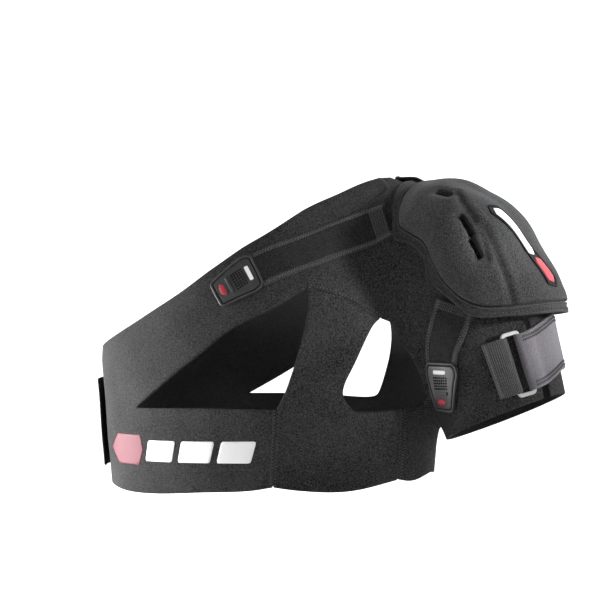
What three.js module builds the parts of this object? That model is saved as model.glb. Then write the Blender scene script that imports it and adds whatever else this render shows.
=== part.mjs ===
// Shoulder brace for the wearer's left shoulder, in the form it has when worn.
// Millimetres, +Z up. The origin is the seat on top of the shoulder, +X is the
// wearer's left and -Y is the wearer's front.
import * as THREE from 'three';
import { ConvexHull } from 'three/addons/math/ConvexHull.js';

const v3 = (x, y, z) => new THREE.Vector3(x, y, z);
const rad = THREE.MathUtils.degToRad;

// Body that the brace is cut to fit
const midX = -150; // middle of the chest, seen from the seat on the shoulder
const chestDepthY = -16; // the chest's axis lies this far in front of the seat
const chestHalfWidth = 178;
const chestHalfDepth = 122;
const chestTopZ = -169; // above this height the rib cage rounds over
const chestDomeHeight = 158;
const chestTaper = 0.05; // share lost for each 100 mm further down
const neck = { from: v3(midX, 22, -41), to: v3(midX, 2, 91), fromRadius: 76, toRadius: 60 };
const girdle = { from: v3(midX, 18, -33), to: v3(midX + 186, -2, -65), fromRadius: 70, toRadius: 54 };
const upperArm = { from: v3(midX + 212, -6, -77), to: v3(midX + 275, -8, -329), fromRadius: 57, toRadius: 52 };
const girdleBlend = 45;
const neckBlend = 70;
const armBlend = 38;

// Walls and clearances
const bodyWall = 3; // neoprene with jersey on both faces
const pieceGap = 0.6; // air between two pieces laid on each other
const ringPlay = 0.35; // air between a strap and the bar that it goes round
const seamGap = 0.4; // air between two panels at a seam
const strapWall = 2.4;
const tabWall = 4;
const webbingWall = 1.6;
const armStrapWall = 2;
const capBaseWall = 2;
const trimWall = 1.2;
const printWall = 0.6;

// Spacing of the facets
const panelFacet = 15;
const edgeFacet = 12;
const capFacet = 12.5;
const strapFacet = 9.5;
const smallFacet = 6;

// Colours
const neoprene = { color: 0x2b2b2d, roughness: 0.95, metalness: 0 };
const padFoam = { color: 0x39393b, roughness: 0.9, metalness: 0 };
const elastic = { color: 0x303033, roughness: 0.85, metalness: 0 };
const rubber = { color: 0x1b1b1d, roughness: 0.6, metalness: 0 };
const softGrey = { color: 0x68666a, roughness: 0.95, metalness: 0 };
const ringGrey = { color: 0xa9a9a9, roughness: 0.45, metalness: 0 };
const paleTrim = { color: 0xe8e8e6, roughness: 0.5, metalness: 0 };
const redTrim = { color: 0xb3202c, roughness: 0.5, metalness: 0 };

// The body as a field that is negative inside and grows about 1 for each mm outside
function smoothMin(a, b, blend) {
  const share = THREE.MathUtils.clamp(0.5 + (0.5 * (b - a)) / blend, 0, 1);
  return b * (1 - share) + a * share - blend * share * (1 - share);
}

function coneField(p, cone) {
  const axis = cone.to.clone().sub(cone.from);
  const share = THREE.MathUtils.clamp(p.clone().sub(cone.from).dot(axis) / axis.lengthSq(), 0, 1);
  const radius = cone.fromRadius + (cone.toRadius - cone.fromRadius) * share;
  return p.distanceTo(cone.from.clone().addScaledVector(axis, share)) - radius;
}

function ribField(p) {
  const down = Math.min(p.z - chestTopZ, 0);
  const up = Math.max(p.z - chestTopZ, 0);
  const scale = 1 + (chestTaper * down) / 100;
  const halfWidth = chestHalfWidth * scale;
  const halfDepth = chestHalfDepth * scale;
  const x = p.x - midX;
  const y = p.y - chestDepthY;
  const near = Math.hypot(x / halfWidth, y / halfDepth, up / chestDomeHeight);
  const slope = Math.hypot(x / halfWidth ** 2, y / halfDepth ** 2, up / chestDomeHeight ** 2);
  return (near * (near - 1)) / Math.max(slope, 1e-9);
}

function bodyField(p) {
  const shoulder = smoothMin(ribField(p), coneField(p, girdle), girdleBlend);
  const withNeck = smoothMin(shoulder, coneField(p, neck), neckBlend);
  return smoothMin(withNeck, coneField(p, upperArm), armBlend);
}

function bodyNormal(p) {
  const slope = (axis) => bodyField(p.clone().addScaledVector(axis, slopeStep))
    - bodyField(p.clone().addScaledVector(axis, -slopeStep));
  return v3(slope(v3(1, 0, 0)), slope(v3(0, 1, 0)), slope(v3(0, 0, 1))).normalize();
}

const rayStart = 12; // clear of the axis, where the field has no slope
const rayStep = 0.75; // share of the field's depth that one step goes
const skinTolerance = 1e-5;
const slopeStep = 0.5;

// First place where a ray from inside the body comes out
function skinFrom(origin, direction) {
  const p = origin.clone().addScaledVector(direction, rayStart);
  for (let i = 0; i < 200; i += 1) {
    const depth = bodyField(p);
    if (Math.abs(depth) < skinTolerance) break;
    p.addScaledVector(direction, -depth * rayStep);
  }
  return { point: p, normal: bodyNormal(p) };
}

// Nearest place on the skin to a point
function skinNear(start) {
  const p = start.clone();
  for (let i = 0; i < 12; i += 1) p.addScaledVector(bodyNormal(p), -bodyField(p) * 0.9);
  return { point: p, normal: bodyNormal(p) };
}

const lifted = (spot, height) => spot.point.clone().addScaledVector(spot.normal, height);

// A chart turns flat pattern coordinates (u, v) in mm into a place on the skin, and back.
// Trunk chart: u runs round the chest from the front middle to the wearer's left,
// v is the height, measured as an angle above the level of the chart.
const trunkChart = {
  centre: v3(midX, chestDepthY, -170),
  radius: 150,
  place(u, v) {
    const turn = u / this.radius;
    const rise = Math.max(v, 0) / this.radius;
    const origin = this.centre.clone().add(v3(0, 0, Math.min(v, 0)));
    const flat = Math.cos(rise);
    return skinFrom(origin, v3(Math.sin(turn) * flat, -Math.cos(turn) * flat, Math.sin(rise)));
  },
  find(p) {
    const d = p.clone().sub(this.centre);
    let turn = Math.atan2(d.x, -d.y);
    if (turn < -Math.PI / 2 - 0.3) turn += Math.PI * 2;
    const v = d.z <= 0 ? d.z : this.radius * Math.atan2(d.z, Math.hypot(d.x, d.y));
    return [turn * this.radius, v];
  },
};

// Girdle chart: u is the distance from the middle of the chest, v runs from the ridge
// of the shoulder down the front (positive) or down the back (negative).
const girdleChart = {
  y: -8,
  z: -90,
  radius: 62,
  straight: 100, // length of the flat stretch down the side of the armhole
  place(u, v) {
    const quarter = (this.radius * Math.PI) / 2;
    const side = Math.sign(v) || 1;
    const run = Math.abs(v);
    const down = THREE.MathUtils.clamp(run - quarter, 0, this.straight);
    const angle = (run - down) / this.radius;
    return skinFrom(v3(midX + u, this.y, this.z - down), v3(0, -side * Math.sin(angle), Math.cos(angle)));
  },
  find(p) {
    const down = THREE.MathUtils.clamp(this.z - p.z, 0, this.straight);
    const angle = Math.atan2(this.y - p.y, p.z - this.z + down);
    return [p.x - midX, Math.sign(angle) * (Math.abs(angle) * this.radius + down)];
  },
};

// Sleeve chart: planes that fan out from a hinge line under the armpit.
// u runs round the arm from the outermost place to the front, v is the fan angle.
const sleeveChart = {
  hingeX: midX + 150,
  hingeZ: -256,
  armY: -6,
  aroundRadius: 64,
  fanRadius: 190,
  middle(angle) {
    return THREE.MathUtils.mapLinear(angle, rad(24), rad(85), 105, 150);
  },
  place(u, v) {
    const angle = v / this.fanRadius;
    const around = u / this.aroundRadius;
    const inPlane = v3(Math.cos(angle), 0, Math.sin(angle));
    const origin = v3(this.hingeX, this.armY, this.hingeZ).addScaledVector(inPlane, this.middle(angle));
    const direction = inPlane.multiplyScalar(Math.cos(around)).add(v3(0, -Math.sin(around), 0));
    return skinFrom(origin, direction);
  },
  find(p) {
    const angle = Math.atan2(p.z - this.hingeZ, p.x - this.hingeX);
    const out = Math.hypot(p.z - this.hingeZ, p.x - this.hingeX) - this.middle(angle);
    return [Math.atan2(this.armY - p.y, out) * this.aroundRadius, angle * this.fanRadius];
  },
};

// Cap chart: a flattened ball about the shoulder joint, u outwards and down, v to the front.
const capChart = {
  centre: v3(midX + 200, -6, -80),
  radius: 70,
  tilt: rad(40),
  axes() {
    return {
      pole: v3(Math.sin(this.tilt), 0, Math.cos(this.tilt)),
      out: v3(Math.cos(this.tilt), 0, -Math.sin(this.tilt)),
      front: v3(0, -1, 0),
    };
  },
  place(u, v) {
    const { pole, out, front } = this.axes();
    const run = Math.max(Math.hypot(u, v), 1e-6);
    const angle = run / this.radius;
    const direction = pole.multiplyScalar(Math.cos(angle))
      .addScaledVector(out, (Math.sin(angle) * u) / run)
      .addScaledVector(front, (Math.sin(angle) * v) / run);
    return skinFrom(this.centre, direction);
  },
};

// Curves in a chart, from short tables
function smoothCurve(table, columns, spacing = edgeFacet) {
  const points = table.map((row) => v3(row[columns[0]], row[columns[1]], 0));
  const curve = new THREE.CatmullRomCurve3(points, false, 'centripetal');
  const steps = Math.max(1, Math.round(curve.getLength() / spacing));
  return curve.getSpacedPoints(steps).map((p) => [p.x, p.y]);
}

const degreesToRun = (turn) => rad(turn) * trunkChart.radius;

function trunkCurve(table) {
  const rows = table.map(({ turn, height }) => ({ u: degreesToRun(turn), v: height }));
  return smoothCurve(rows, ['u', 'v']);
}

const reversed = (curve) => [...curve].reverse();

function joined(...curves) {
  const points = [];
  for (const curve of curves) {
    for (const point of curve) {
      const last = points[points.length - 1];
      if (!last || Math.hypot(point[0] - last[0], point[1] - last[1]) > 0.5) points.push(point);
    }
  }
  const [first, last] = [points[0], points[points.length - 1]];
  if (Math.hypot(first[0] - last[0], first[1] - last[1]) < 0.5) points.pop();
  return points;
}

function area(loop) {
  return loop.reduce((sum, [x, y], i) => {
    const [nx, ny] = loop[(i + 1) % loop.length];
    return sum + (x * ny - nx * y) / 2;
  }, 0);
}

function inside(loop, [x, y]) {
  let hit = false;
  for (let i = 0, j = loop.length - 1; i < loop.length; j = i, i += 1) {
    const [ax, ay] = loop[i];
    const [bx, by] = loop[j];
    if (ay > y !== by > y && x < ((bx - ax) * (y - ay)) / (by - ay) + ax) hit = !hit;
  }
  return hit;
}

function distanceTo(loop, [x, y]) {
  let best = Infinity;
  for (let i = 0, j = loop.length - 1; i < loop.length; j = i, i += 1) {
    const [ax, ay] = loop[j];
    const [dx, dy] = [loop[i][0] - ax, loop[i][1] - ay];
    const t = THREE.MathUtils.clamp(((x - ax) * dx + (y - ay) * dy) / (dx * dx + dy * dy || 1), 0, 1);
    best = Math.min(best, Math.hypot(x - ax - dx * t, y - ay - dy * t));
  }
  return best;
}

// Moves a loop in by a distance, along the bisector at each corner
function inset(loop, distance) {
  const way = Math.sign(area(loop));
  return loop.map(([x, y], i) => {
    const [px, py] = loop[(i + loop.length - 1) % loop.length];
    const [nx, ny] = loop[(i + 1) % loop.length];
    const a = new THREE.Vector2(x - px, y - py).normalize();
    const b = new THREE.Vector2(nx - x, ny - y).normalize();
    const normalA = new THREE.Vector2(-a.y, a.x);
    const normalB = new THREE.Vector2(-b.y, b.x);
    const bisector = normalA.clone().add(normalB).normalize();
    const reach = Math.min(distance / Math.max(bisector.dot(normalA), 0.3), distance * 3);
    return [x + bisector.x * reach * way, y + bisector.y * reach * way];
  });
}

const thinnestSliver = 0.01;
const clearOfRim = 0.55; // share of the spacing that grid points keep from the rim
const wobbleSize = 0.002; // keeps four grid points off one circle

// Flat triangles inside an outline, with the outline's own points as their rim
function triangulate(outline, holes, spacing) {
  const points = [outline, ...holes].flat();
  const loops = [outline, ...holes];
  const xs = outline.map(([x]) => x);
  const ys = outline.map(([, y]) => y);
  const rowStep = (spacing * Math.sqrt(3)) / 2;
  // the grid is fixed in the chart, so that layers laid on each other have the same facets
  const firstRow = Math.ceil(Math.min(...ys) / rowStep);
  for (let row = firstRow; row * rowStep < Math.max(...ys); row += 1) {
    const y = row * rowStep;
    const shift = row % 2 ? spacing / 2 : 0;
    const start = Math.ceil((Math.min(...xs) - shift) / spacing) * spacing + shift;
    for (let x = start; x < Math.max(...xs); x += spacing) {
      const spot = [x, y];
      if (!inside(outline, spot) || holes.some((hole) => inside(hole, spot))) continue;
      if (loops.every((loop) => distanceTo(loop, spot) > spacing * clearOfRim)) points.push(spot);
    }
  }
  const size = Math.max(Math.max(...xs) - Math.min(...xs), Math.max(...ys) - Math.min(...ys));
  const wobble = (i, k) => Math.sin(i * 12.9898 + k * 78.233) * wobbleSize;
  const lift = points.map(([x, y], i) => {
    const px = (x - xs[0] + wobble(i, 1)) / size;
    const py = (y - ys[0] + wobble(i, 2)) / size;
    const vertex = v3(px, py, px * px + py * py);
    vertex.index = i;
    return vertex;
  });
  const triangles = [];
  const hull = new ConvexHull().setFromPoints(lift);
  for (const face of hull.faces) {
    if (face.normal.z >= 0) continue;
    const ids = [face.edge.prev, face.edge, face.edge.next].map((edge) => edge.head().point.index);
    const corners = ids.map((id) => points[id]);
    const middle = [0, 1].map((axis) => corners.reduce((sum, corner) => sum + corner[axis], 0) / 3);
    const longest = Math.max(...corners.map(([x, y], k) => {
      const [nx, ny] = corners[(k + 1) % 3];
      return Math.hypot(nx - x, ny - y);
    }));
    if (Math.abs(area(corners)) < longest * thinnestSliver) continue;
    if (inside(outline, middle) && !holes.some((hole) => inside(hole, middle))) triangles.push(ids);
  }
  return { points, triangles };
}

// Closed solid between two layers over the same triangles
function layeredSolid({ points, triangles }, innerAt, outerAt, outwardAt) {
  const inner = points.map(([u, v]) => innerAt(u, v));
  const outer = points.map(([u, v]) => outerAt(u, v));
  const position = [];
  const push = (...corners) => corners.forEach((corner) => position.push(corner.x, corner.y, corner.z));
  const edges = new Map();
  const middleOf = (ids) => {
    const [u, v] = [0, 1].map((axis) => ids.reduce((sum, id) => sum + points[id][axis], 0) / 3);
    return outwardAt(u, v);
  };
  const vote = triangles.reduce((sum, ids) => {
    const [a, b, c] = ids.map((id) => outer[id]);
    return sum + Math.sign(b.clone().sub(a).cross(c.clone().sub(a)).dot(middleOf(ids)));
  }, 0);
  for (const triangle of triangles) {
    const ids = vote > 0 ? triangle : [triangle[0], triangle[2], triangle[1]];
    push(...ids.map((id) => outer[id]));
    push(inner[ids[0]], inner[ids[2]], inner[ids[1]]);
    for (let i = 0; i < 3; i += 1) {
      const [a, b] = [ids[i], ids[(i + 1) % 3]];
      if (edges.has(`${b},${a}`)) edges.delete(`${b},${a}`);
      else edges.set(`${a},${b}`, [a, b]);
    }
  }
  for (const [a, b] of edges.values()) {
    push(outer[b], outer[a], inner[a]);
    push(outer[b], inner[a], inner[b]);
  }
  const geometry = new THREE.BufferGeometry();
  geometry.setAttribute('position', new THREE.Float32BufferAttribute(position, 3));
  geometry.computeVertexNormals();
  return geometry;
}

const brace = new THREE.Group();

function addPiece(name, geometry, finish) {
  const mesh = new THREE.Mesh(geometry, new THREE.MeshStandardMaterial(finish));
  mesh.name = name;
  brace.add(mesh);
  return mesh;
}

// Sheet of cloth or foam on a chart; lift and wall may change over the sheet
function addSheet(name, finish, chart, outline, options = {}) {
  const { lift = 0, wall = bodyWall, holes = [], facet = panelFacet, margin = seamGap / 2 } = options;
  const liftAt = typeof lift === 'function' ? lift : () => lift;
  const wallAt = typeof wall === 'function' ? wall : () => wall;
  const rim = inset(outline, margin);
  const rimHoles = holes.map((hole) => inset(hole, -margin));
  const flat = triangulate(rim, rimHoles, facet);
  const innerAt = (u, v) => lifted(chart.place(u, v), liftAt(u, v));
  const outerAt = (u, v) => lifted(chart.place(u, v), liftAt(u, v) + wallAt(u, v));
  const outwardAt = (u, v) => chart.place(u, v).normal;
  return addPiece(name, layeredSolid(flat, innerAt, outerAt, outwardAt), finish);
}

// Edges and seams of the panels: turn is in degrees round the chest from the front
// middle to the wearer's left, height in mm along the trunk chart.
const closureTurn = -90;
const bandTop = -36;
const frontTopEdge = [
  { turn: closureTurn, height: 12 },
  { turn: -68, height: 17 },
  { turn: -48, height: 35.5 },
  { turn: -20, height: 78 },
  { turn: 0.6, height: 114.5 },
  { turn: 18, height: 136.5 },
  { turn: 51, height: 156 },
  { turn: 76, height: 153 },
  { turn: 92, height: 149 },
];
const ridgeFront = { turn: 94, height: 148 };
const ridgeBack = { turn: 100, height: 146 };
const backTopEdge = [
  { turn: 102, height: 146 },
  { turn: 118, height: 143 },
  { turn: 140, height: 136 },
  { turn: 160, height: 122 },
  { turn: 180, height: 100 },
  { turn: 202, height: 68 },
  { turn: 228, height: 34 },
  { turn: 248, height: 17 },
  { turn: 360 + closureTurn, height: 12 },
];
const seamA = [
  ridgeFront,
  { turn: 85, height: 133 },
  { turn: 76, height: 130 },
  { turn: 65, height: 119 },
  { turn: 53.5, height: 99 },
  { turn: 46, height: 79 },
];
const seamB = [
  { turn: 46, height: 79 },
  { turn: 53.7, height: 70.5 },
  { turn: 59.6, height: 60.7 },
  { turn: 69, height: 42 },
];
const seam1 = [
  { turn: 32.7, height: bandTop },
  { turn: 32.4, height: -63.5 },
  { turn: 31.5, height: -107.5 },
];
const seam2 = [
  { turn: 75.6, height: bandTop },
  { turn: 75.9, height: -65 },
  { turn: 75.8, height: -102 },
];
const leftOpeningBottom = [
  { turn: -38.5, height: -40 },
  { turn: -1.5, height: bandTop - 0.8 },
  { turn: 32.7, height: bandTop },
];
const leftOpeningTop = [
  { turn: -38.5, height: -40 },
  { turn: -6.2, height: 7 },
  { turn: 13.6, height: 43.5 },
  { turn: 33.3, height: 64 },
  { turn: 46, height: 79 },
];
const leftOpeningSide = [
  { turn: 32.7, height: bandTop },
  { turn: 36, height: -20 },
  { turn: 44.5, height: 53 },
  { turn: 46, height: 79 },
];
const rightOpeningSide = [
  { turn: 69, height: 42 },
  { turn: 66.2, height: 37 },
  { turn: 59.9, height: 9 },
  { turn: 55.8, height: -22 },
  { turn: 59.5, height: bandTop - 1.2 },
];
const rightOpeningBottomFront = [
  { turn: 59.5, height: bandTop - 1.2 },
  { turn: 66.4, height: bandTop - 1.6 },
  { turn: 75.6, height: bandTop },
];
const rightOpeningBottomSide = [
  { turn: 75.6, height: bandTop },
  { turn: 80, height: -34.5 },
  { turn: 83, height: -31 },
];
const rightOpeningStrip = [
  { turn: 69, height: 42 },
  { turn: 73, height: 36 },
  { turn: 74.5, height: 22 },
  { turn: 77.8, height: 6.4 },
  { turn: 81.2, height: -12.4 },
  { turn: 83, height: -31 },
];
const bottomFront = [
  { turn: closureTurn, height: -118 },
  { turn: -47, height: -123 },
  { turn: -2, height: -115.5 },
  { turn: 21.4, height: -111.5 },
  { turn: 31.5, height: -107.5 },
];
const bottomCentre = [
  { turn: 31.5, height: -107.5 },
  { turn: 41, height: -110 },
  { turn: 58, height: -111 },
  { turn: 75.8, height: -102 },
];
const bottomSide = [
  { turn: 75.8, height: -102 },
  { turn: 81, height: -104.5 },
  { turn: 93, height: -100 },
  { turn: 105, height: -104 },
  { turn: 112, height: -102 },
];
const bottomBack = [
  { turn: 112, height: -102 },
  { turn: 140, height: -110 },
  { turn: 182, height: -114 },
  { turn: 228, height: -121 },
  { turn: 360 + closureTurn, height: -118 },
];
const sideBackSeam = [
  { turn: 100.5, height: -34 },
  { turn: 108, height: -60 },
  { turn: 112, height: -102 },
];
const shoulderBackSeam = [
  ridgeBack,
  { turn: 108, height: 132 },
  { turn: 118, height: 114 },
  { turn: 124, height: 92 },
  { turn: 121, height: 64 },
  { turn: 110, height: 40 },
];
const backOpening = [
  { turn: 218, height: -38 },
  { turn: 186, height: -37 },
  { turn: 149, height: -36 },
  { turn: 147, height: -30 },
  { turn: 140, height: 42 },
  { turn: 143, height: 58 },
  { turn: 150, height: 56 },
  { turn: 168, height: 37 },
  { turn: 187, height: 4 },
];

// Armhole: over the shoulder as distance from the chest middle and run from the ridge,
// under the arm and up the back in the trunk chart.
const openingCorner = rightOpeningStrip[rightOpeningStrip.length - 1];
const armpitFront = { turn: 83.8, height: -35 };
const armpitBack = { turn: 100.5, height: -34 };
const armholeBackTop = { turn: 110, height: 40 };
const armholeFront = [
  { out: 186, run: 0 },
  { out: 190, run: 40 },
  { out: 196, run: 90 },
  { out: 197, run: 140 },
  { out: 191, run: 185 },
];
const armholeBack = [
  { out: 186, run: 0 },
  { out: 187, run: -50 },
  { out: 180, run: -95 },
  { out: 170, run: -120 },
];
const armholeUnder = [
  armpitFront,
  { turn: 85.2, height: -43.5 },
  { turn: 88, height: -51.5 },
  { turn: 92, height: -55.5 },
  { turn: 96, height: -51.5 },
  { turn: 99, height: -43 },
  armpitBack,
];
const armholeBackLow = [
  armpitBack,
  { turn: 103.5, height: -10 },
  { turn: 106.5, height: 15 },
  armholeBackTop,
];

const skinOf = (chart, [u, v]) => chart.place(u, v).point;
const across = (curve, from, to) => curve.map((spot) => to.find(skinOf(from, spot)));

const trunkSpot = ({ turn, height }) => trunkChart.place(degreesToRun(turn), height);
const toGirdle = ({ turn, height }) => girdleChart.find(trunkSpot({ turn, height }).point);

function girdleCurve(table, end) {
  const rows = table.map(({ out, run }) => ({ u: out, v: run }));
  const [u, v] = toGirdle(end);
  return smoothCurve([...rows, { u, v }], ['u', 'v']);
}

const closureFront = [{ turn: closureTurn, height: 12 }, { turn: closureTurn, height: -118 }];
const chestOutline = joined(
  trunkCurve(frontTopEdge),
  trunkCurve(seamA),
  reversed(trunkCurve(leftOpeningTop)),
  trunkCurve(leftOpeningBottom),
  trunkCurve(seam1),
  reversed(trunkCurve(bottomFront)),
  reversed(trunkCurve(closureFront)),
);
addSheet('chest_panel', neoprene, trunkChart, chestOutline);

const centreOutline = joined(
  trunkCurve(seamB),
  trunkCurve(rightOpeningSide),
  trunkCurve(rightOpeningBottomFront),
  trunkCurve(seam2),
  reversed(trunkCurve(bottomCentre)),
  reversed(trunkCurve(seam1)),
  trunkCurve(leftOpeningSide),
);
addSheet('centre_panel', neoprene, trunkChart, centreOutline);

const sideOutline = joined(
  trunkCurve(rightOpeningBottomSide),
  trunkCurve([openingCorner, armpitFront]),
  trunkCurve(armholeUnder),
  trunkCurve(sideBackSeam),
  reversed(trunkCurve(bottomSide)),
  reversed(trunkCurve(seam2)),
);
addSheet('side_panel', neoprene, trunkChart, sideOutline);

const backClosure = [{ turn: 360 + closureTurn, height: 12 }, { turn: 360 + closureTurn, height: -118 }];
const backOutline = joined(
  trunkCurve(backTopEdge),
  trunkCurve(backClosure),
  reversed(trunkCurve(bottomBack)),
  reversed(trunkCurve(sideBackSeam)),
  trunkCurve(armholeBackLow),
  reversed(trunkCurve(shoulderBackSeam)),
);
const backHole = joined(trunkCurve([...backOpening, backOpening[0]]));
addSheet('back_panel', neoprene, trunkChart, backOutline, { holes: [backHole] });

const frontRim = girdleCurve(armholeFront, armpitFront);
const backRim = girdleCurve(armholeBack, armholeBackTop);
const toGirdleCurve = (table) => across(trunkCurve(table), trunkChart, girdleChart);
const shoulderOutline = joined(
  toGirdleCurve([ridgeBack, ridgeFront]),
  toGirdleCurve(seamA),
  toGirdleCurve(seamB),
  toGirdleCurve(rightOpeningStrip),
  toGirdleCurve([openingCorner, armpitFront]),
  reversed(frontRim),
  backRim,
  reversed(toGirdleCurve(shoulderBackSeam)),
);
addSheet('shoulder_panel', neoprene, girdleChart, shoulderOutline);

// Sleeve, from the armhole to a hem that is level with the armpit, with its slit
const hemFan = rad(23.5);
const slitAt = rad(27); // from the outermost line towards the front
const slitWidth = 8;
const slitTopWidth = 1;
const slitTopShare = 0.3; // the slit starts to widen this far down
const slitCornerClear = 4;
const wholeTurn = Math.PI * 2 * sleeveChart.aroundRadius;
const slitStart = slitAt * sleeveChart.aroundRadius;
const hemRun = hemFan * sleeveChart.fanRadius;
const wrapped = ([u, v]) => [u < slitStart ? u + wholeTurn : u, v];
const rimPoints = [
  ...frontRim.map((spot) => skinOf(girdleChart, spot)),
  ...trunkCurve(armholeUnder).map((spot) => skinOf(trunkChart, spot)),
  ...trunkCurve(armholeBackLow).map((spot) => skinOf(trunkChart, spot)),
  ...backRim.map((spot) => skinOf(girdleChart, spot)),
];
const sleeveRim = rimPoints
  .map((point) => wrapped(sleeveChart.find(point)))
  .sort((a, b) => a[0] - b[0])
  .filter(([u], i, list) => i === 0 || u - list[i - 1][0] > edgeFacet / 2)
  .map(([u, v]) => [u, v - seamGap / 2]);
const slitTopRun = sleeveRim[0][1];
const rimEnd = [slitStart + wholeTurn - slitTopWidth, slitTopRun];
const slitSide = (u, widening) => smoothCurve(
  [0, slitTopShare, 0.5, 0.75, 1].map((share) => ({
    u: u + widening * Math.max(0, (share - slitTopShare) / (1 - slitTopShare)),
    v: slitTopRun + (hemRun - slitTopRun) * share,
  })),
  ['u', 'v'],
);
const sleeveOutline = joined(
  [[slitStart, slitTopRun]],
  sleeveRim.filter(([u]) => u > slitStart + slitCornerClear && u < rimEnd[0] - slitCornerClear),
  [rimEnd],
  slitSide(rimEnd[0], -slitWidth / 2),
  smoothCurve([
    { u: rimEnd[0] - slitWidth / 2, v: hemRun },
    { u: slitStart + slitWidth / 2, v: hemRun },
  ], ['u', 'v']),
  reversed(slitSide(slitStart, slitWidth / 2)),
);
addSheet('sleeve', neoprene, sleeveChart, sleeveOutline);

// Flap that closes the band on the wearer's right side; its front edge stands off
const flapCorners = [
  { turn: -108, height: -14 },
  { turn: -73, height: -16 },
  { turn: -72, height: -89 },
  { turn: -108, height: -92 },
];
const flapHeldTurn = -98; // up to here the flap lies on the band
const flapFreeTurn = -73;
const flapStandOff = 3;
const flapRest = 0.2;
const layerLift = bodyWall + pieceGap;
const flapOutline = joined(
  ...flapCorners.map((corner, i) => trunkCurve([corner, flapCorners[(i + 1) % flapCorners.length]])),
);
const flapLift = (u) => {
  const share = THREE.MathUtils.smoothstep(u, degreesToRun(flapHeldTurn), degreesToRun(flapFreeTurn));
  return layerLift + flapRest + flapStandOff * share;
};
addSheet('closure_flap', neoprene, trunkChart, flapOutline, { lift: flapLift, wall: strapWall });

// Plain print on the band: slanted pale bars and one red shape
const printMiddle = -74;
const printHeight = 20;
const printSlant = 7;
function slantedBar(fromTurn, toTurn, height) {
  const [from, to] = [degreesToRun(fromTurn), degreesToRun(toTurn)];
  const [low, high] = [printMiddle - height / 2, printMiddle + height / 2];
  const lean = (printSlant * height) / printHeight / 2;
  return joined(
    smoothCurve([{ u: from - lean, v: low }, { u: to - lean, v: low }], ['u', 'v']),
    smoothCurve([{ u: to - lean, v: low }, { u: to + lean, v: high }], ['u', 'v']),
    smoothCurve([{ u: to + lean, v: high }, { u: from + lean, v: high }], ['u', 'v']),
    smoothCurve([{ u: from + lean, v: high }, { u: from - lean, v: low }], ['u', 'v']),
  );
}
const printBars = [
  { from: -33, to: -17 },
  { from: -13.5, to: 4 },
  { from: 7.5, to: 23.5 },
];
const redBar = { from: -56, to: -38, height: printHeight + 4 };
const printOptions = { lift: layerLift, wall: printWall };
printBars.forEach(({ from, to }, i) => {
  addSheet(`print_bar_${i + 1}`, paleTrim, trunkChart, slantedBar(from, to, printHeight), printOptions);
});
const redOutline = slantedBar(redBar.from, redBar.to, redBar.height);
addSheet('print_red', redTrim, trunkChart, redOutline, printOptions);

// Shoulder cap: a thin base with a sewn flange, and a foam pad on it
const capFlange = [
  { out: -91, front: 0 },
  { out: -91, front: 34 },
  { out: -86, front: 60 },
  { out: -79, front: 82 },
  { out: -70, front: 88 },
  { out: -47, front: 94 },
  { out: -25, front: 103 },
  { out: 1, front: 117 },
  { out: 25, front: 117.5 },
  { out: 60, front: 102 },
  { out: 83, front: 82 },
  { out: 90, front: 56 },
  { out: 93, front: 30 },
  { out: 94, front: 0 },
];
const capPad = [
  { out: -85, front: 0 },
  { out: -86, front: 34 },
  { out: -82.5, front: 60 },
  { out: -74, front: 75 },
  { out: -54, front: 85 },
  { out: -32, front: 92 },
  { out: -5, front: 104.5 },
  { out: 25, front: 109 },
  { out: 58, front: 97.5 },
  { out: 78, front: 79 },
  { out: 86, front: 56 },
  { out: 89, front: 30 },
  { out: 90, front: 0 },
];
// the back half is the front half turned over
function capOutline(table) {
  const back = table.slice(1, -1).reverse().map(({ out, front }) => ({ out, front: -front }));
  const loop = [...table, ...back, table[0]];
  return joined(smoothCurve(loop, ['out', 'front']));
}
const flareStart = 34; // where the cap leaves the arm
const flareEnd = 94;
const flareHeight = 19;
const capRest = 0.4; // the cap lies more loosely on the shoulder than a strap does
const capLift = (u) => {
  const share = THREE.MathUtils.clamp((u - flareStart) / (flareEnd - flareStart), 0, 1);
  return layerLift + capRest + flareHeight * share ** 1.2 * (1.4 - 0.4 * share);
};
const padEdge = 2.2;
const padCrown = 9.5;
const padShoulderRun = 26; // how far in from its edge the pad reaches its full height
const padValley = { front: 12, halfWidth: 26, start: -28, end: 4, share: 0.75 };
const padThinning = { start: 40, end: 80, share: 0.45 }; // towards the outer end
const padRest = 0.25;
const flangeOutline = capOutline(capFlange);
const padOutline = capOutline(capPad);
const padWallAt = (u, v) => {
  const edge = THREE.MathUtils.clamp(distanceTo(padOutline, [u, v]) / padShoulderRun, 0, 1);
  const crown = Math.sin((edge * Math.PI) / 2);
  const valley = Math.exp(-(((v - padValley.front) / padValley.halfWidth) ** 2))
    * THREE.MathUtils.smoothstep(u, padValley.start, padValley.end);
  const outer = 1 - padThinning.share * THREE.MathUtils.smoothstep(u, padThinning.start, padThinning.end);
  return padEdge + (padCrown - padEdge) * crown * (1 - padValley.share * valley) * outer;
};
const ventWidth = 3.6;
const vents = [
  { from: [-46, 45], to: [-31.5, 42.5] },
  { from: [-10.5, 58.5], to: [7.5, 63.8] },
  { from: [12.5, 67], to: [29.5, 68.3] },
];
function ventOutline({ from, to }, width) {
  const axis = new THREE.Vector2(to[0] - from[0], to[1] - from[1]).normalize();
  const points = [];
  for (const [end, way] of [[to, 1], [from, -1]]) {
    for (let k = 0; k <= 4; k += 1) {
      const turn = -Math.PI / 2 + (k * Math.PI) / 4;
      const along = (Math.cos(turn) * way * width) / 2;
      const side = (Math.sin(turn) * way * width) / 2;
      points.push([end[0] + axis.x * along - axis.y * side, end[1] + axis.y * along + axis.x * side]);
    }
  }
  return points;
}
const ventLoops = vents.map((vent) => ventOutline(vent, ventWidth));
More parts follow.
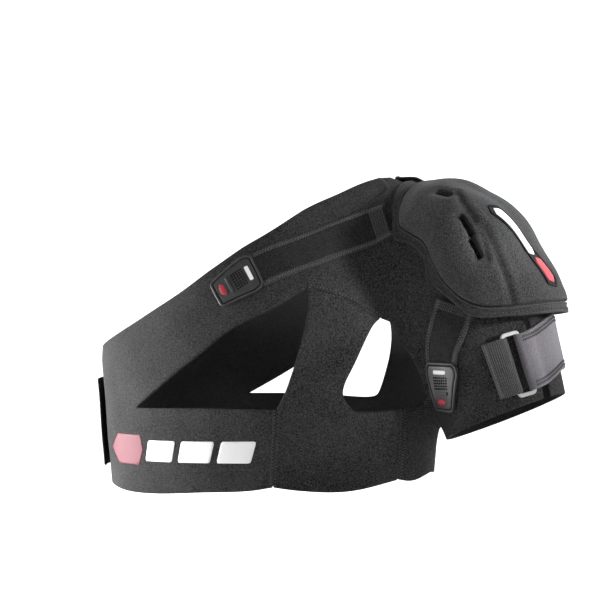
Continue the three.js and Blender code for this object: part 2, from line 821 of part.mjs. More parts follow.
addSheet('cap_base', neoprene, capChart, flangeOutline, {
  lift: capLift, wall: capBaseWall, holes: ventLoops, facet: capFacet,
});
const padLift = (u) => capLift(u) + capBaseWall + pieceGap + padRest;
addSheet('shoulder_pad', padFoam, capChart, padOutline, {
  lift: padLift, wall: padWallAt, holes: ventLoops, facet: capFacet, margin: 0,
});

// Slanted badge in the valley of the pad: a frame and two plain fields
const badgeFrom = [-3, 37];
const badgeTo = [80, 9.5];
const badgeHalf = 5.75;
const badgeRim = 1.8;
const badgeSplit = 0.6; // share of the length where the pale field ends
const badgeFacet = 8;
const badgeTip = { frame: 6, window: 5, field: 4.5 }; // length of the slanted ends
const badgeTipLean = 0.2; // how far the tip lies off the middle line
const badgeAxis = new THREE.Vector2(badgeTo[0] - badgeFrom[0], badgeTo[1] - badgeFrom[1]);
const badgeLength = badgeAxis.length();
badgeAxis.normalize();
function badgeShape(from, to, half, tip) {
  const corners = [
    [from + tip, -half],
    [to - tip, -half],
    [to, -half * badgeTipLean],
    [to - tip, half],
    [from + tip, half],
    [from, half * badgeTipLean],
  ];
  const loop = corners.map(([s, t]) => ({
    u: badgeFrom[0] + badgeAxis.x * s - badgeAxis.y * t,
    v: badgeFrom[1] + badgeAxis.y * s + badgeAxis.x * t,
  }));
  const sides = loop.map((corner, i) => [corner, loop[(i + 1) % loop.length]]);
  return joined(...sides.map((side) => smoothCurve(side, ['u', 'v'], badgeFacet)));
}
const badgeEnd = badgeRim * 2;
const fieldEnd = badgeEnd + pieceGap * 2;
const fieldHalf = badgeHalf - badgeRim - pieceGap;
const splitAt = badgeLength * badgeSplit;
const badgeWindow = badgeShape(badgeEnd, badgeLength - badgeEnd, badgeHalf - badgeRim, badgeTip.window);
const palePart = badgeShape(fieldEnd, splitAt, fieldHalf, badgeTip.field);
const redPart = badgeShape(splitAt + badgeRim, badgeLength - fieldEnd, fieldHalf, badgeTip.field);
const badgeLift = (u, v) => padLift(u) + padWallAt(u, v) + pieceGap;
const badgeOptions = { lift: badgeLift, wall: trimWall, facet: badgeFacet, margin: 0 };
const framePart = badgeShape(0, badgeLength, badgeHalf, badgeTip.frame);
addSheet('badge_frame', rubber, capChart, framePart, { ...badgeOptions, holes: [badgeWindow] });
addSheet('badge_pale', paleTrim, capChart, palePart, badgeOptions);
addSheet('badge_red', redTrim, capChart, redPart, badgeOptions);

// Ribbon chart: u along a path on the skin, v across it
function ribbonChart(pathPoints, zeroAt = 0) {
  const curve = new THREE.CatmullRomCurve3(pathPoints, false, 'centripetal');
  const length = curve.getLength();
  return {
    length,
    place(u, v) {
      const share = THREE.MathUtils.clamp((u + zeroAt) / length, 0, 1);
      const tangent = curve.getTangentAt(share);
      const over = u + zeroAt - share * length;
      const base = skinNear(curve.getPointAt(share).addScaledVector(tangent, over));
      const side = base.normal.clone().cross(tangent).normalize();
      return skinNear(base.point.addScaledVector(side, v));
    },
  };
}
function band(from, to, halfWidth, spacing = edgeFacet) {
  return joined(
    smoothCurve([{ u: from, v: -halfWidth }, { u: to, v: -halfWidth }], ['u', 'v'], spacing),
    smoothCurve([{ u: to, v: -halfWidth }, { u: to, v: halfWidth }], ['u', 'v'], spacing),
    smoothCurve([{ u: to, v: halfWidth }, { u: from, v: halfWidth }], ['u', 'v'], spacing),
    smoothCurve([{ u: from, v: halfWidth }, { u: from, v: -halfWidth }], ['u', 'v'], spacing),
  );
}

// Straps from the cap to the chest, to the armpit and to the back, each with a moulded tab.
// Each path starts under the far end of its tab.
const strapHalfWidth = 18.5;
const tabLength = 45;
const tabShape = [
  { along: 0, half: 0 },
  { along: 0, half: 9 },
  { along: 2.5, half: 12.5 },
  { along: 36, half: 18.6 },
  { along: 42, half: 17.5 },
  { along: tabLength, half: 13.5 },
  { along: tabLength, half: 0 },
];
const tabOutline = joined(
  tabShape.map(({ along, half }) => [along, -half]),
  reversed(tabShape).map(({ along, half }) => [along, half]),
);
const tabFacet = smallFacet * 1.6;
const tabSpots = tabOutline.flatMap(([u, v], i) => {
  const [nu, nv] = tabOutline[(i + 1) % tabOutline.length];
  const steps = Math.max(1, Math.round(Math.hypot(nu - u, nv - v) / tabFacet));
  return Array.from({ length: steps }, (_, k) => [u + ((nu - u) * k) / steps, v + ((nv - v) * k) / steps]);
});
const tabBar = { from: 35, to: 38, half: 7 };
const tabDot = { from: 6, to: 12, half: 6 };
const frontPath = [
  { x: -140.1, y: -127.4, z: -105.3 },
  { x: -106.4, y: -113.4, z: -82.1 },
  { x: -72.9, y: -92.5, z: -66.4 },
  { x: -41.5, y: -68.3, z: -50.8 },
  { x: -1, y: -50, z: -34 },
];
const lowerPath = [
  { x: 58.5, y: -48.5, z: -207 },
  { x: 55.6, y: -54, z: -170 },
  { x: 56, y: -57, z: -153 },
  { x: 64, y: -62, z: -129 },
  { x: 71, y: -63.4, z: -110 },
];
const rearPath = [
  { x: -140, y: 94, z: -98 },
  { x: -106, y: 84, z: -75 },
  { x: -72, y: 68, z: -52 },
  { x: -42, y: 48, z: -26 },
  { x: -14, y: 22, z: -3 },
];
// rest: clearance over the panels; rise: the cap's end of the strap stands off by this much
const straps = [
  { name: 'front', path: frontPath, rest: 0, rise: 0, marks: true },
  { name: 'lower', path: lowerPath, rest: 1, rise: 0, marks: true },
  { name: 'rear', path: rearPath, rest: 0, rise: 9, marks: false },
];
const strapStart = tabLength + 1;
const riseRun = 45;
for (const { name, path, rest, rise, marks } of straps) {
  const chart = ribbonChart(path.map(({ x, y, z }) => v3(x, y, z)));
  const liftAt = (u) => layerLift + rest
    + rise * THREE.MathUtils.smoothstep(u, chart.length - riseRun, chart.length);
  const strapBand = band(strapStart, chart.length, strapHalfWidth, strapFacet);
  const strapOptions = { lift: liftAt, wall: strapWall, facet: strapFacet, margin: 0 };
  const tabOptions = { lift: liftAt, wall: tabWall, facet: tabFacet, margin: 0 };
  addSheet(`${name}_strap`, elastic, chart, strapBand, strapOptions);
  addSheet(`${name}_tab`, rubber, chart, tabSpots, tabOptions);
  if (!marks) continue;
  const markLift = (u) => liftAt(u) + tabWall + pieceGap;
  const markOptions = { lift: markLift, wall: printWall, facet: smallFacet, margin: 0 };
  const [bar, dot] = [tabBar, tabDot].map(({ from, to, half }) => band(from, to, half, smallFacet));
  addSheet(`${name}_tab_bar`, paleTrim, chart, bar, markOptions);
  addSheet(`${name}_tab_dot`, redTrim, chart, dot, markOptions);
}

// Band round the upper arm: webbing and soft strap, folded through a rectangular ring
const armBandTilt = rad(20);
const armBandMiddle = v3(midX + 236.9, -7, -176.6);
const ringTurn = 46; // degrees from the outermost line towards the front
const armBandFront = 100;
const armBandBack = -150;
const armBandStep = 10;
const armBandPath = [];
for (let turn = armBandFront; turn >= armBandBack; turn -= armBandStep) {
  const inPlane = v3(Math.cos(armBandTilt), 0, Math.sin(armBandTilt)).multiplyScalar(Math.cos(rad(turn)));
  armBandPath.push(skinFrom(armBandMiddle, inPlane.add(v3(0, -Math.sin(rad(turn)), 0))).point);
}
const toRing = new THREE.CatmullRomCurve3(
  armBandPath.slice(0, Math.round((armBandFront - ringTurn) / armBandStep) + 1),
  false,
  'centripetal',
).getLength();
const armBandChart = ribbonChart(armBandPath, toRing);
const webbingHalfWidth = 25.4;
const ringBar = 3.5;
const ringHalfLength = webbingHalfWidth + ringPlay + ringBar;
const ringHalfWidth = 9;
const barAt = ringHalfWidth - ringBar / 2;
const ringMiddle = layerLift + armStrapWall + ringPlay + ringBar / 2;

// The ring lies flat on the sleeve, and the straps are flat beside it
const ringSpot = armBandChart.place(0, 0);
const ringAcross = armBandChart.place(0, 5).point.sub(armBandChart.place(0, -5).point).normalize();
const ringSide = ringAcross.clone().cross(ringSpot.normal).normalize();
const ringUp = ringSide.clone().cross(ringAcross).normalize();
const flatBeside = barAt + 3;
const flatEnd = barAt + 16;
function armBandSpot(s, across, level) {
  const flat = ringSpot.point.clone().addScaledVector(ringSide, s)
    .addScaledVector(ringAcross, across).addScaledVector(ringUp, level);
  const round = lifted(armBandChart.place(s, across), level);
  return flat.lerp(round, THREE.MathUtils.smoothstep(Math.abs(s), flatBeside, flatEnd));
}

const foldStations = 4;
const foldTurns = 6; // facets round a bar
// the end that comes back leaves the bar and comes down onto the strap under it
const foldFall = { leave: 5, leaveDrop: 0.8, near: 13, nearRise: 0.4, down: 18 };

// A strap that runs to a bar, goes round it and comes back on top of itself
function foldPath({ wall, way, underEnd, overEnd }) {
  const turnRadius = ringBar / 2 + ringPlay + wall / 2;
  const over = ringMiddle - turnRadius + wall + ringPlay;
  const top = ringMiddle + turnRadius;
  const path = [[underEnd, ringMiddle - turnRadius], [barAt, ringMiddle - turnRadius]];
  for (let k = 1; k < foldTurns; k += 1) {
    const turn = Math.PI / 2 + (k * Math.PI) / foldTurns;
    path.push([barAt + Math.cos(turn) * turnRadius, ringMiddle - Math.sin(turn) * turnRadius]);
  }
  path.push(
    [barAt, top],
    [barAt + foldFall.leave, top - foldFall.leaveDrop],
    [barAt + foldFall.near, over + foldFall.nearRise],
    [barAt + foldFall.down, over],
    [overEnd, over],
  );
  const fine = [];
  path.forEach(([s, level], i) => {
    if (i > 0) {
      const [ps, pl] = path[i - 1];
      const steps = Math.max(1, Math.round(Math.hypot(s - ps, level - pl) / edgeFacet));
      for (let k = 1; k < steps; k += 1) fine.push([ps + ((s - ps) * k) / steps, pl + ((level - pl) * k) / steps]);
    }
    fine.push([s, level]);
  });
  return fine.map(([s, level]) => [s * way, level]);
}

function addFold(name, finish, halfWidth, path, wall) {
  const faces = path.map(([s, level], i) => {
    const [ps, pl] = path[Math.max(i - 1, 0)];
    const [ns, nl] = path[Math.min(i + 1, path.length - 1)];
    const tangent = new THREE.Vector2(ns - ps, nl - pl).normalize().multiplyScalar(wall / 2);
    return [[s - tangent.y, level + tangent.x], [s + tangent.y, level - tangent.x]];
  });
  const stations = Array.from({ length: foldStations + 1 }, (_, k) => {
    const across = -halfWidth + (2 * halfWidth * k) / foldStations;
    return faces.map((pair) => pair.map(([s, level]) => armBandSpot(s, across, level)));
  });
  const position = [];
  const quad = (a, b, c, d) => {
    for (const corner of [a, b, c, a, c, d]) position.push(corner.x, corner.y, corner.z);
  };
  const last = path.length - 1;
  for (let k = 0; k < foldStations; k += 1) {
    const [here, next] = [stations[k], stations[k + 1]];
    for (let i = 0; i < last; i += 1) {
      quad(here[i][0], here[i + 1][0], next[i + 1][0], next[i][0]);
      quad(here[i][1], next[i][1], next[i + 1][1], here[i + 1][1]);
    }
    quad(here[0][0], next[0][0], next[0][1], here[0][1]);
    quad(here[last][0], here[last][1], next[last][1], next[last][0]);
  }
  for (let i = 0; i < last; i += 1) {
    const [low, high] = [stations[0], stations[foldStations]];
    quad(low[i][0], low[i][1], low[i + 1][1], low[i + 1][0]);
    quad(high[i][0], high[i + 1][0], high[i + 1][1], high[i][1]);
  }
  const geometry = new THREE.BufferGeometry();
  geometry.setAttribute('position', new THREE.Float32BufferAttribute(position, 3));
  geometry.computeVertexNormals();
  return addPiece(name, geometry, finish);
}

const webbingPath = foldPath({ wall: webbingWall, way: -1, underEnd: 30, overEnd: 34 });
addFold('arm_webbing', elastic, webbingHalfWidth, webbingPath, webbingWall);
const armStrapPath = foldPath({ wall: armStrapWall, way: 1, underEnd: 104, overEnd: 122 });
addFold('arm_strap', softGrey, webbingHalfWidth, armStrapPath, armStrapWall);

// Rectangular ring with rounded corners
function roundedRectangle(target, halfX, halfY, radius) {
  target.moveTo(-halfX + radius, -halfY);
  target.lineTo(halfX - radius, -halfY);
  target.absarc(halfX - radius, -halfY + radius, radius, -Math.PI / 2, 0);
  target.lineTo(halfX, halfY - radius);
  target.absarc(halfX - radius, halfY - radius, radius, 0, Math.PI / 2);
  target.lineTo(-halfX + radius, halfY);
  target.absarc(-halfX + radius, halfY - radius, radius, Math.PI / 2, Math.PI);
  target.lineTo(-halfX, -halfY + radius);
  target.absarc(-halfX + radius, -halfY + radius, radius, Math.PI, Math.PI * 1.5);
  return target;
}
const ringCorner = 4;
const ringBevel = 0.8;
const ringShape = roundedRectangle(
  new THREE.Shape(),
  ringHalfWidth - ringBevel,
  ringHalfLength - ringBevel,
  ringCorner - ringBevel,
);
ringShape.holes.push(roundedRectangle(
  new THREE.Path(),
  ringHalfWidth - ringBar + ringBevel,
  ringHalfLength - ringBar + ringBevel,
  ringCorner - ringBar + ringBevel,
));
const ringGeometry = new THREE.ExtrudeGeometry(ringShape, {
  depth: ringBar - ringBevel * 2,
  bevelSize: ringBevel,
  bevelThickness: ringBevel,
  bevelSegments: 1,
  curveSegments: 4,
}).translate(0, 0, -ringBar / 2 + ringBevel);
const ring = addPiece('arm_ring', ringGeometry, ringGrey);
ring.applyMatrix4(new THREE.Matrix4().makeBasis(ringSide, ringAcross, ringUp)
  .setPosition(ringSpot.point.clone().addScaledVector(ringUp, ringMiddle)));

export default brace;
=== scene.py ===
# Shoulder brace for a left shoulder, in the form it has when worn.
# Lengths in the tables are mm; +X is the wearer's left, -Y the front, +Z up.
import math

import bmesh
import bpy
import numpy as np
from mathutils import Matrix, Vector, geometry, kdtree, noise


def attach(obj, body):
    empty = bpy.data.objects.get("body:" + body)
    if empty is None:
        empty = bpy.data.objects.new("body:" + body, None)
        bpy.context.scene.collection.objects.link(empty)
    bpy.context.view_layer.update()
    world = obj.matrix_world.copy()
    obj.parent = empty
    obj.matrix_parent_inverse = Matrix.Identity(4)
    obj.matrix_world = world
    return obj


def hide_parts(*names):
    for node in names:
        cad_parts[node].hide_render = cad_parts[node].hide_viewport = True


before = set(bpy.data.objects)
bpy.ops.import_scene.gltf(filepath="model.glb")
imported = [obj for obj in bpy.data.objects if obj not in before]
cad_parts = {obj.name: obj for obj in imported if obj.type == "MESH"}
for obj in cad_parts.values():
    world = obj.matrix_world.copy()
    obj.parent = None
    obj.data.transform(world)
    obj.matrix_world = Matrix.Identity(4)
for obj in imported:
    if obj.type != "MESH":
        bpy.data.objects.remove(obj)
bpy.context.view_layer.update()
bpy.ops.object.select_all(action="DESELECT")
mm = 0.001
print("frame loaded:", len(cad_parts), "nodes")

# The body that the brace is cut to fit
body = {
    "middleX": -150,
    "depthY": -16,
    "halfWidth": 178,
    "halfDepth": 122,
    "topZ": -169,
    "domeHeight": 158,
    "taper": 0.05,
    "neck": ((-150, 22, -41), (-150, 2, 91), 76, 60),
    "girdle": ((-150, 18, -33), (36, -2, -65), 70, 54),
    "arm": ((62, -6, -77), (125, -8, -329), 57, 52),
    "girdleBlend": 45,
    "neckBlend": 70,
    "armBlend": 38,
}

# Walls and layers
wall = {
    "panel": 3,
    "gap": 0.6,
    "seam": 0.4,
    "strap": 2.4,
    "tab": 4,
    "webbing": 1.6,
    "armStrap": 2,
    "capBase": 2,
    "print": 0.35,
}
layer = wall["panel"] + wall["gap"]  # height of what lies on a panel


def smoothMin(a, b, blend):
    share = np.clip(0.5 + 0.5 * (b - a) / blend, 0, 1)
    return b * (1 - share) + a * share - blend * share * (1 - share)


def smoothStep(x, start, end):
    t = np.clip((np.asarray(x, float) - start) / (end - start), 0, 1)
    return t * t * (3 - 2 * t)


def bump(x, middle, halfWidth):
    return np.exp(-(((x - middle) / halfWidth) ** 2))


def unit(vectors):
    return vectors / np.maximum(np.linalg.norm(vectors, axis=-1, keepdims=True), 1e-9)


# Share along a line from start to end, and the distance away from it
def alongAndAway(p, start, end):
    start, end = np.array(start, float), np.array(end, float)
    axis = end - start
    share = np.clip((p - start) @ axis / (axis @ axis), 0, 1)
    return share, np.linalg.norm(p - start - share[:, None] * axis, axis=1)


def coneField(p, cone):
    share, away = alongAndAway(p, cone[0], cone[1])
    return away - (cone[2] + (cone[3] - cone[2]) * share)


def ribField(p):
    down = np.minimum(p[:, 2] - body["topZ"], 0)
    up = np.maximum(p[:, 2] - body["topZ"], 0) / body["domeHeight"]
    scale = 1 + body["taper"] * down / 100
    halfWidth, halfDepth = body["halfWidth"] * scale, body["halfDepth"] * scale
    x, y = (p[:, 0] - body["middleX"]) / halfWidth, (p[:, 1] - body["depthY"]) / halfDepth
    near = np.sqrt(x * x + y * y + up * up)
    slope = np.sqrt((x / halfWidth) ** 2 + (y / halfDepth) ** 2 + (up / body["domeHeight"]) ** 2)
    return near * (near - 1) / np.maximum(slope, 1e-9)


# Negative inside the body, and about 1 more for each mm outside it
def bodyField(p):
    field = smoothMin(ribField(p), coneField(p, body["girdle"]), body["girdleBlend"])
    field = smoothMin(field, coneField(p, body["neck"]), body["neckBlend"])
    return smoothMin(field, coneField(p, body["arm"]), body["armBlend"])


def bodyNormal(p):
    steps = np.eye(3) * 0.5  # mm
    return unit(np.stack([bodyField(p + step) - bodyField(p - step) for step in steps], axis=1))


# The search for the skin: first step in mm, then how many steps and what share of the field each takes
search = {"start": 12, "steps": 70, "share": 0.75, "nearSteps": 7, "nearShare": 0.9}


def skinFrom(origin, direction):
    p = origin + search["start"] * direction
    for _ in range(search["steps"]):
        p = p - direction * (search["share"] * bodyField(p))[:, None]
    return p, bodyNormal(p)


def skinNear(p):
    for _ in range(search["nearSteps"]):
        p = p - bodyNormal(p) * (search["nearShare"] * bodyField(p))[:, None]
    return p, bodyNormal(p)


# Charts turn flat pattern places (u, v) into places on the skin with their normals
trunk = {"centre": (-150, -16, -170), "radius": 150}
girdle = {"y": -8, "z": -90, "radius": 62, "straight": 100}
sleeve = {
    "hingeX": 0,
    "hingeZ": -256,
    "armY": -6,
    "aroundRadius": 64,
    "fanRadius": 190,
    "fanFrom": 24,
    "fanTo": 85,
    "outFrom": 105,
    "outTo": 150,
}
cap = {"centre": (50, -6, -80), "radius": 70, "tilt": 40}


def onTrunk(uv):
    turn, rise = uv[:, 0] / trunk["radius"], np.maximum(uv[:, 1], 0) / trunk["radius"]
    origin = np.tile(np.array(trunk["centre"], float), (len(uv), 1))
    origin[:, 2] += np.minimum(uv[:, 1], 0)
    flat = np.cos(rise)
    direction = np.stack([np.sin(turn) * flat, -np.cos(turn) * flat, np.sin(rise)], axis=1)
    return skinFrom(origin, direction)


def onGirdle(uv):
    quarter = girdle["radius"] * math.pi / 2
    side, run = np.where(uv[:, 1] < 0, -1, 1), np.abs(uv[:, 1])
    down = np.clip(run - quarter, 0, girdle["straight"])
    angle = (run - down) / girdle["radius"]
    x = body["middleX"] + uv[:, 0]
    origin = np.stack([x, np.full(len(uv), girdle["y"], float), girdle["z"] - down], axis=1)
    direction = np.stack([np.zeros(len(uv)), -side * np.sin(angle), np.cos(angle)], axis=1)
    return skinFrom(origin, direction)


def findGirdle(p):
    down = np.clip(girdle["z"] - p[:, 2], 0, girdle["straight"])
    angle = np.arctan2(girdle["y"] - p[:, 1], p[:, 2] - girdle["z"] + down)
    run = np.sign(angle) * (np.abs(angle) * girdle["radius"] + down)
    return np.stack([p[:, 0] - body["middleX"], run], axis=1)


def armMiddle(angle):
    fanFrom, fanTo = math.radians(sleeve["fanFrom"]), math.radians(sleeve["fanTo"])
    share = (angle - fanFrom) / (fanTo - fanFrom)
    return sleeve["outFrom"] + (sleeve["outTo"] - sleeve["outFrom"]) * share


def onSleeve(uv):
    angle, around = uv[:, 1] / sleeve["fanRadius"], uv[:, 0] / sleeve["aroundRadius"]
    inPlane = np.stack([np.cos(angle), np.zeros(len(uv)), np.sin(angle)], axis=1)
    hinge = np.array([sleeve["hingeX"], sleeve["armY"], sleeve["hingeZ"]], float)
    origin = hinge + inPlane * armMiddle(angle)[:, None]
    front = np.array([0, -1, 0], float)
    return skinFrom(origin, inPlane * np.cos(around)[:, None] + front * np.sin(around)[:, None])


def findSleeve(p):
    up, out = p[:, 2] - sleeve["hingeZ"], p[:, 0] - sleeve["hingeX"]
    angle = np.arctan2(up, out)
    reach = np.hypot(up, out) - armMiddle(angle)
    around = np.arctan2(sleeve["armY"] - p[:, 1], reach) * sleeve["aroundRadius"]
    return np.stack([around, angle * sleeve["fanRadius"]], axis=1)


def onCap(uv):
    tilt = math.radians(cap["tilt"])
    pole = np.array([math.sin(tilt), 0, math.cos(tilt)])
    out = np.array([math.cos(tilt), 0, -math.sin(tilt)])
    front = np.array([0, -1, 0], float)
    run = np.maximum(np.hypot(uv[:, 0], uv[:, 1]), 1e-6)
    angle = run / cap["radius"]
    away = out * (uv[:, 0] / run)[:, None] + front * (uv[:, 1] / run)[:, None]
    direction = pole * np.cos(angle)[:, None] + away * np.sin(angle)[:, None]
    origin = np.tile(np.array(cap["centre"], float), (len(uv), 1))
    return skinFrom(origin, direction)


def runOf(points):
    return np.concatenate([[0], np.cumsum(np.linalg.norm(np.diff(points, axis=0), axis=1))])


def readAlong(at, run, rows):
    return np.stack([np.interp(at, run, rows[:, k]) for k in range(rows.shape[1])], axis=1)


# A line through points, cut into even steps
def evenLine(points, spacing, fewest=2):
    run = runOf(points)
    steps = max(fewest, round(run[-1] / spacing))
    return readAlong(np.linspace(0, run[-1], steps + 1), run, points)


# A spline through the rows of a table, in even steps
def smoothCurve(rows, spacing):
    points = np.array(rows, float)
    if len(points) > 2:
        ends = np.vstack([2 * points[0] - points[1], points, 2 * points[-1] - points[-2]])
        t = np.linspace(0, 1, 24, endpoint=False)[:, None]
        near, far = 2 * t**3 - 3 * t**2 + 1, -2 * t**3 + 3 * t**2
        dense = []
        for a, b, c, d in zip(ends, ends[1:], ends[2:], ends[3:]):
            ga, gb, gc = (max(np.linalg.norm(q - p) ** 0.5, 1e-4) for p, q in ((a, b), (b, c), (c, d)))
            goIn = ((b - a) / ga - (c - a) / (ga + gb) + (c - b) / gb) * gb
            goOut = ((c - b) / gb - (d - b) / (gb + gc) + (d - c) / gc) * gb
            dense.append(near * b + (t**3 - 2 * t**2 + t) * goIn + far * c + (t**3 - t**2) * goOut)
        points = np.vstack([*dense, points[-1:]])
    return evenLine(points, spacing, 1)


def denseLoop(loop, spacing=1.0):
    return evenLine(np.vstack([loop, loop[:1]]), spacing)[:-1]


def joined(*curves):
    same = 0.5  # mm: points closer than this are one
    points = [curves[0][0]]
    for curve in curves:
        points += [p for p in curve if np.linalg.norm(p - points[-1]) > same]
    while np.linalg.norm(points[0] - points[-1]) < same:
        points.pop()
    return np.array(points)


# A closed outline with straight sides
def straightOutline(corners, spacing):
    sides = zip(corners, [*corners[1:], corners[0]])
    return joined(*[evenLine(np.array([a, b], float), spacing) for a, b in sides])


def loopArea(loop):
    after = np.roll(loop, -1, axis=0)
    return float((loop[:, 0] * after[:, 1] - after[:, 0] * loop[:, 1]).sum() / 2)


def insideLoop(loop, spots):
    found = np.zeros(len(spots), bool)
    for a, b in zip(loop, np.roll(loop, -1, axis=0)):
        if a[1] != b[1]:
            crosses = (a[1] > spots[:, 1]) != (b[1] > spots[:, 1])
            at = (b[0] - a[0]) * (spots[:, 1] - a[1]) / (b[1] - a[1]) + a[0]
            found ^= crosses & (spots[:, 0] < at)
    return found


def inset(loop, distance):
    before, after = unit(loop - np.roll(loop, 1, axis=0)), unit(np.roll(loop, -1, axis=0) - loop)
    turnLeft = lambda d: np.stack([-d[:, 1], d[:, 0]], axis=1)
    bisector = unit(turnLeft(before) + turnLeft(after))
    slant = np.maximum((bisector * turnLeft(before)).sum(axis=1), 0.4)
    return loop + bisector * (distance / slant)[:, None] * np.sign(loopArea(loop))


def treeOf(points):
    tree = kdtree.KDTree(len(points))
    for i, p in enumerate(points):
        tree.insert((p[0], p[1], 0 if len(p) == 2 else p[2]), i)
    tree.balance()
    return tree


def gapTo(tree, spots):
    return np.array([tree.find((p[0], p[1], 0))[2] for p in spots])


# Slow swells in the cloth, the same on each run
def swell(p, size, seed):
    offset = Vector([seed * step for step in (13.7, 5.1, 9.3)])
    return np.array([noise.noise(Vector(q) / size + offset) for q in p])


def meshObject(name, verts, faces, finish, uv=None):
    mesh = bpy.data.meshes.new(name)
    mesh.from_pydata((np.asarray(verts) * mm).tolist(), [], [list(map(int, f)) for f in faces])
    if uv is not None:
        loops = np.empty(len(mesh.loops), np.int32)
        mesh.loops.foreach_get("vertex_index", loops)
        coords = mesh.uv_layers.new(name="cloth")
        coords.data.foreach_set("uv", (np.asarray(uv) * mm)[loops].astype(np.float32).ravel())
    mesh.polygons.foreach_set("use_smooth", [True] * len(mesh.polygons))
    mesh.update()
    mesh.materials.append(finish)
    piece = bpy.data.objects.new(name, mesh)
    bpy.context.scene.collection.objects.link(piece)
    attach(piece, "root")
    return piece


def faceOutward(piece):
    mesh = bmesh.new()
    mesh.from_mesh(piece.data)
    bmesh.ops.recalc_face_normals(mesh, faces=mesh.faces)
    mesh.to_mesh(piece.data)
    mesh.free()


def withinRims(rims, spots):
    inside = insideLoop(rims[0], spots)
    for rim in rims[1:]:
        inside &= ~insideLoop(rim, spots)
    return inside


# Even triangles inside the rims, with a row of points just inside each rim
def fillRims(rims, edgeSize, spacing):
    shoulders = [inset(rim, edgeSize * (1 if k == 0 else -1)) for k, rim in enumerate(rims)]
    rimTree = treeOf(np.vstack([denseLoop(rim) for rim in rims]))
    low, high = rims[0].min(axis=0), rims[0].max(axis=0)
    rowStep, clear = spacing * 0.866, edgeSize + spacing * 0.45
    rows = []
    for k, y in enumerate(np.arange(low[1], high[1], rowStep)):
        x = np.arange(low[0] + (k % 2) * spacing / 2, high[0], spacing)
        rows.append(np.stack([x, np.full(len(x), y)], axis=1))
    grid = np.vstack(rows)
    grid = grid[withinRims(rims, grid)]
    grid = grid[gapTo(rimTree, grid) > clear]
    sides, start = [], 0
    for rim in rims:
        count = len(rim)
        sides += [(start + i, start + (i + 1) % count) for i in range(count)]
        start += count
    coords = [Vector(p) for p in np.vstack([*rims, *shoulders, grid])]
    flat = geometry.delaunay_2d_cdt(coords, sides, [], 0, 1e-5)
    uv = np.array([tuple(p) for p in flat[0]])
    faces = np.array([f for f in flat[2] if len(f) == 3])
    return uv, faces[withinRims(rims, uv[faces].mean(axis=1))]


# The rim is where an edge has one face: its edges, its points and the way out from each
def findRim(faces, points, normals):
    sides = np.vstack([faces[:, [0, 1]], faces[:, [1, 2]], faces[:, [2, 0]]])
    known = {(a, b) for a, b in sides.tolist()}
    rim = np.array([(a, b) for a, b in sides.tolist() if (b, a) not in known])
    onRim = np.unique(rim)
    place = {int(v): i for i, v in enumerate(onRim)}
    outward = np.zeros((len(onRim), 3))
    across = np.cross(unit(points[rim[:, 1]] - points[rim[:, 0]]), normals[rim[:, 0]])
    for (a, b), away in zip(rim.tolist(), across):
        outward[place[a]] += away
        outward[place[b]] += away
    return rim, onRim, place, unit(outward)


def crossOf(points, faces):
    corner = points[faces]
    return np.cross(corner[:, 1] - corner[:, 0], corner[:, 2] - corner[:, 0])


# Rounding of a sheet's rim, as shares of its edge size, or of the wall and margin at most
rimPlan = {"outerDrop": 0.9, "innerDrop": 0.5, "bulge": 0.25, "ofWall": 0.35, "ofMargin": 0.8}


# A sheet of cloth or foam cut to an outline on a chart, with rounded cut edges
def makeSheet(name, chart, outline, finish, options):
    cut = {"lift": 0, "wall": wall["panel"], "holes": [], "spacing": 3, "margin": wall["seam"] / 2}
    cut.update({"edge": 0.8, "relief": 0, "lowerRelief": None, "cutEdge": False})
    cut.update(options)
    rims = [denseLoop(inset(outline, cut["margin"]), cut["spacing"])]
    rims += [denseLoop(inset(hole, -cut["margin"]), min(cut["spacing"], 1.5)) for hole in cut["holes"]]
    uv, faces = fillRims(rims, cut["edge"], cut["spacing"])
    points, normals = chart(uv)
    wrong = (crossOf(points, faces) * normals[faces[:, 0]]).sum(axis=1) < 0
    faces[wrong] = faces[wrong][:, ::-1]
    rim, onRim, place, outward = findRim(faces, points, normals)
    valueOf = lambda part: part(uv, points) if callable(part) else np.full(len(uv), float(part))
    relief = valueOf(cut["relief"])
    lowerRelief = relief if cut["lowerRelief"] is None else valueOf(cut["lowerRelief"])
    inner = valueOf(cut["lift"]) + lowerRelief
    outer = valueOf(cut["lift"]) + relief + valueOf(cut["wall"])
    side = (inner[onRim] + outer[onRim]) / 2
    roundOff = np.minimum(cut["edge"], (outer[onRim] - inner[onRim]) * rimPlan["ofWall"])
    outer[onRim] -= roundOff * rimPlan["outerDrop"]
    inner[onRim] += roundOff * rimPlan["innerDrop"]
    bulge = np.minimum(rimPlan["bulge"] * roundOff, cut["margin"] * rimPlan["ofMargin"])
    outerPoints = points + normals * outer[:, None]
    verts = np.vstack([
        outerPoints,
        points + normals * inner[:, None],
        points[onRim] + normals[onRim] * side[:, None] + bulge[:, None] * outward,
    ])
    count = len(uv)
    quads = []
    for a, b in rim.tolist():
        ma, mb = 2 * count + place[a], 2 * count + place[b]
        quads += [(b, a, ma, mb), (mb, ma, a + count, b + count)]
    allFaces = faces.tolist() + (faces[:, ::-1] + count).tolist() + quads
    piece = meshObject(name, verts, allFaces, finish, np.vstack([uv, uv, uv[onRim]]))
    if cut["cutEdge"]:
        piece.data.materials.append(finishes["core"])
        piece.data.materials.append(finishes["lining"])
        which = np.zeros(len(allFaces), np.int32)
        which[len(faces):2 * len(faces)] = 2
        which[2 * len(faces):] = 1
        piece.data.polygons.foreach_set("material_index", which)
    piece["clothArea"] = float(np.linalg.norm(crossOf(outerPoints, faces), axis=1).sum() / 2) * mm * mm
    return piece


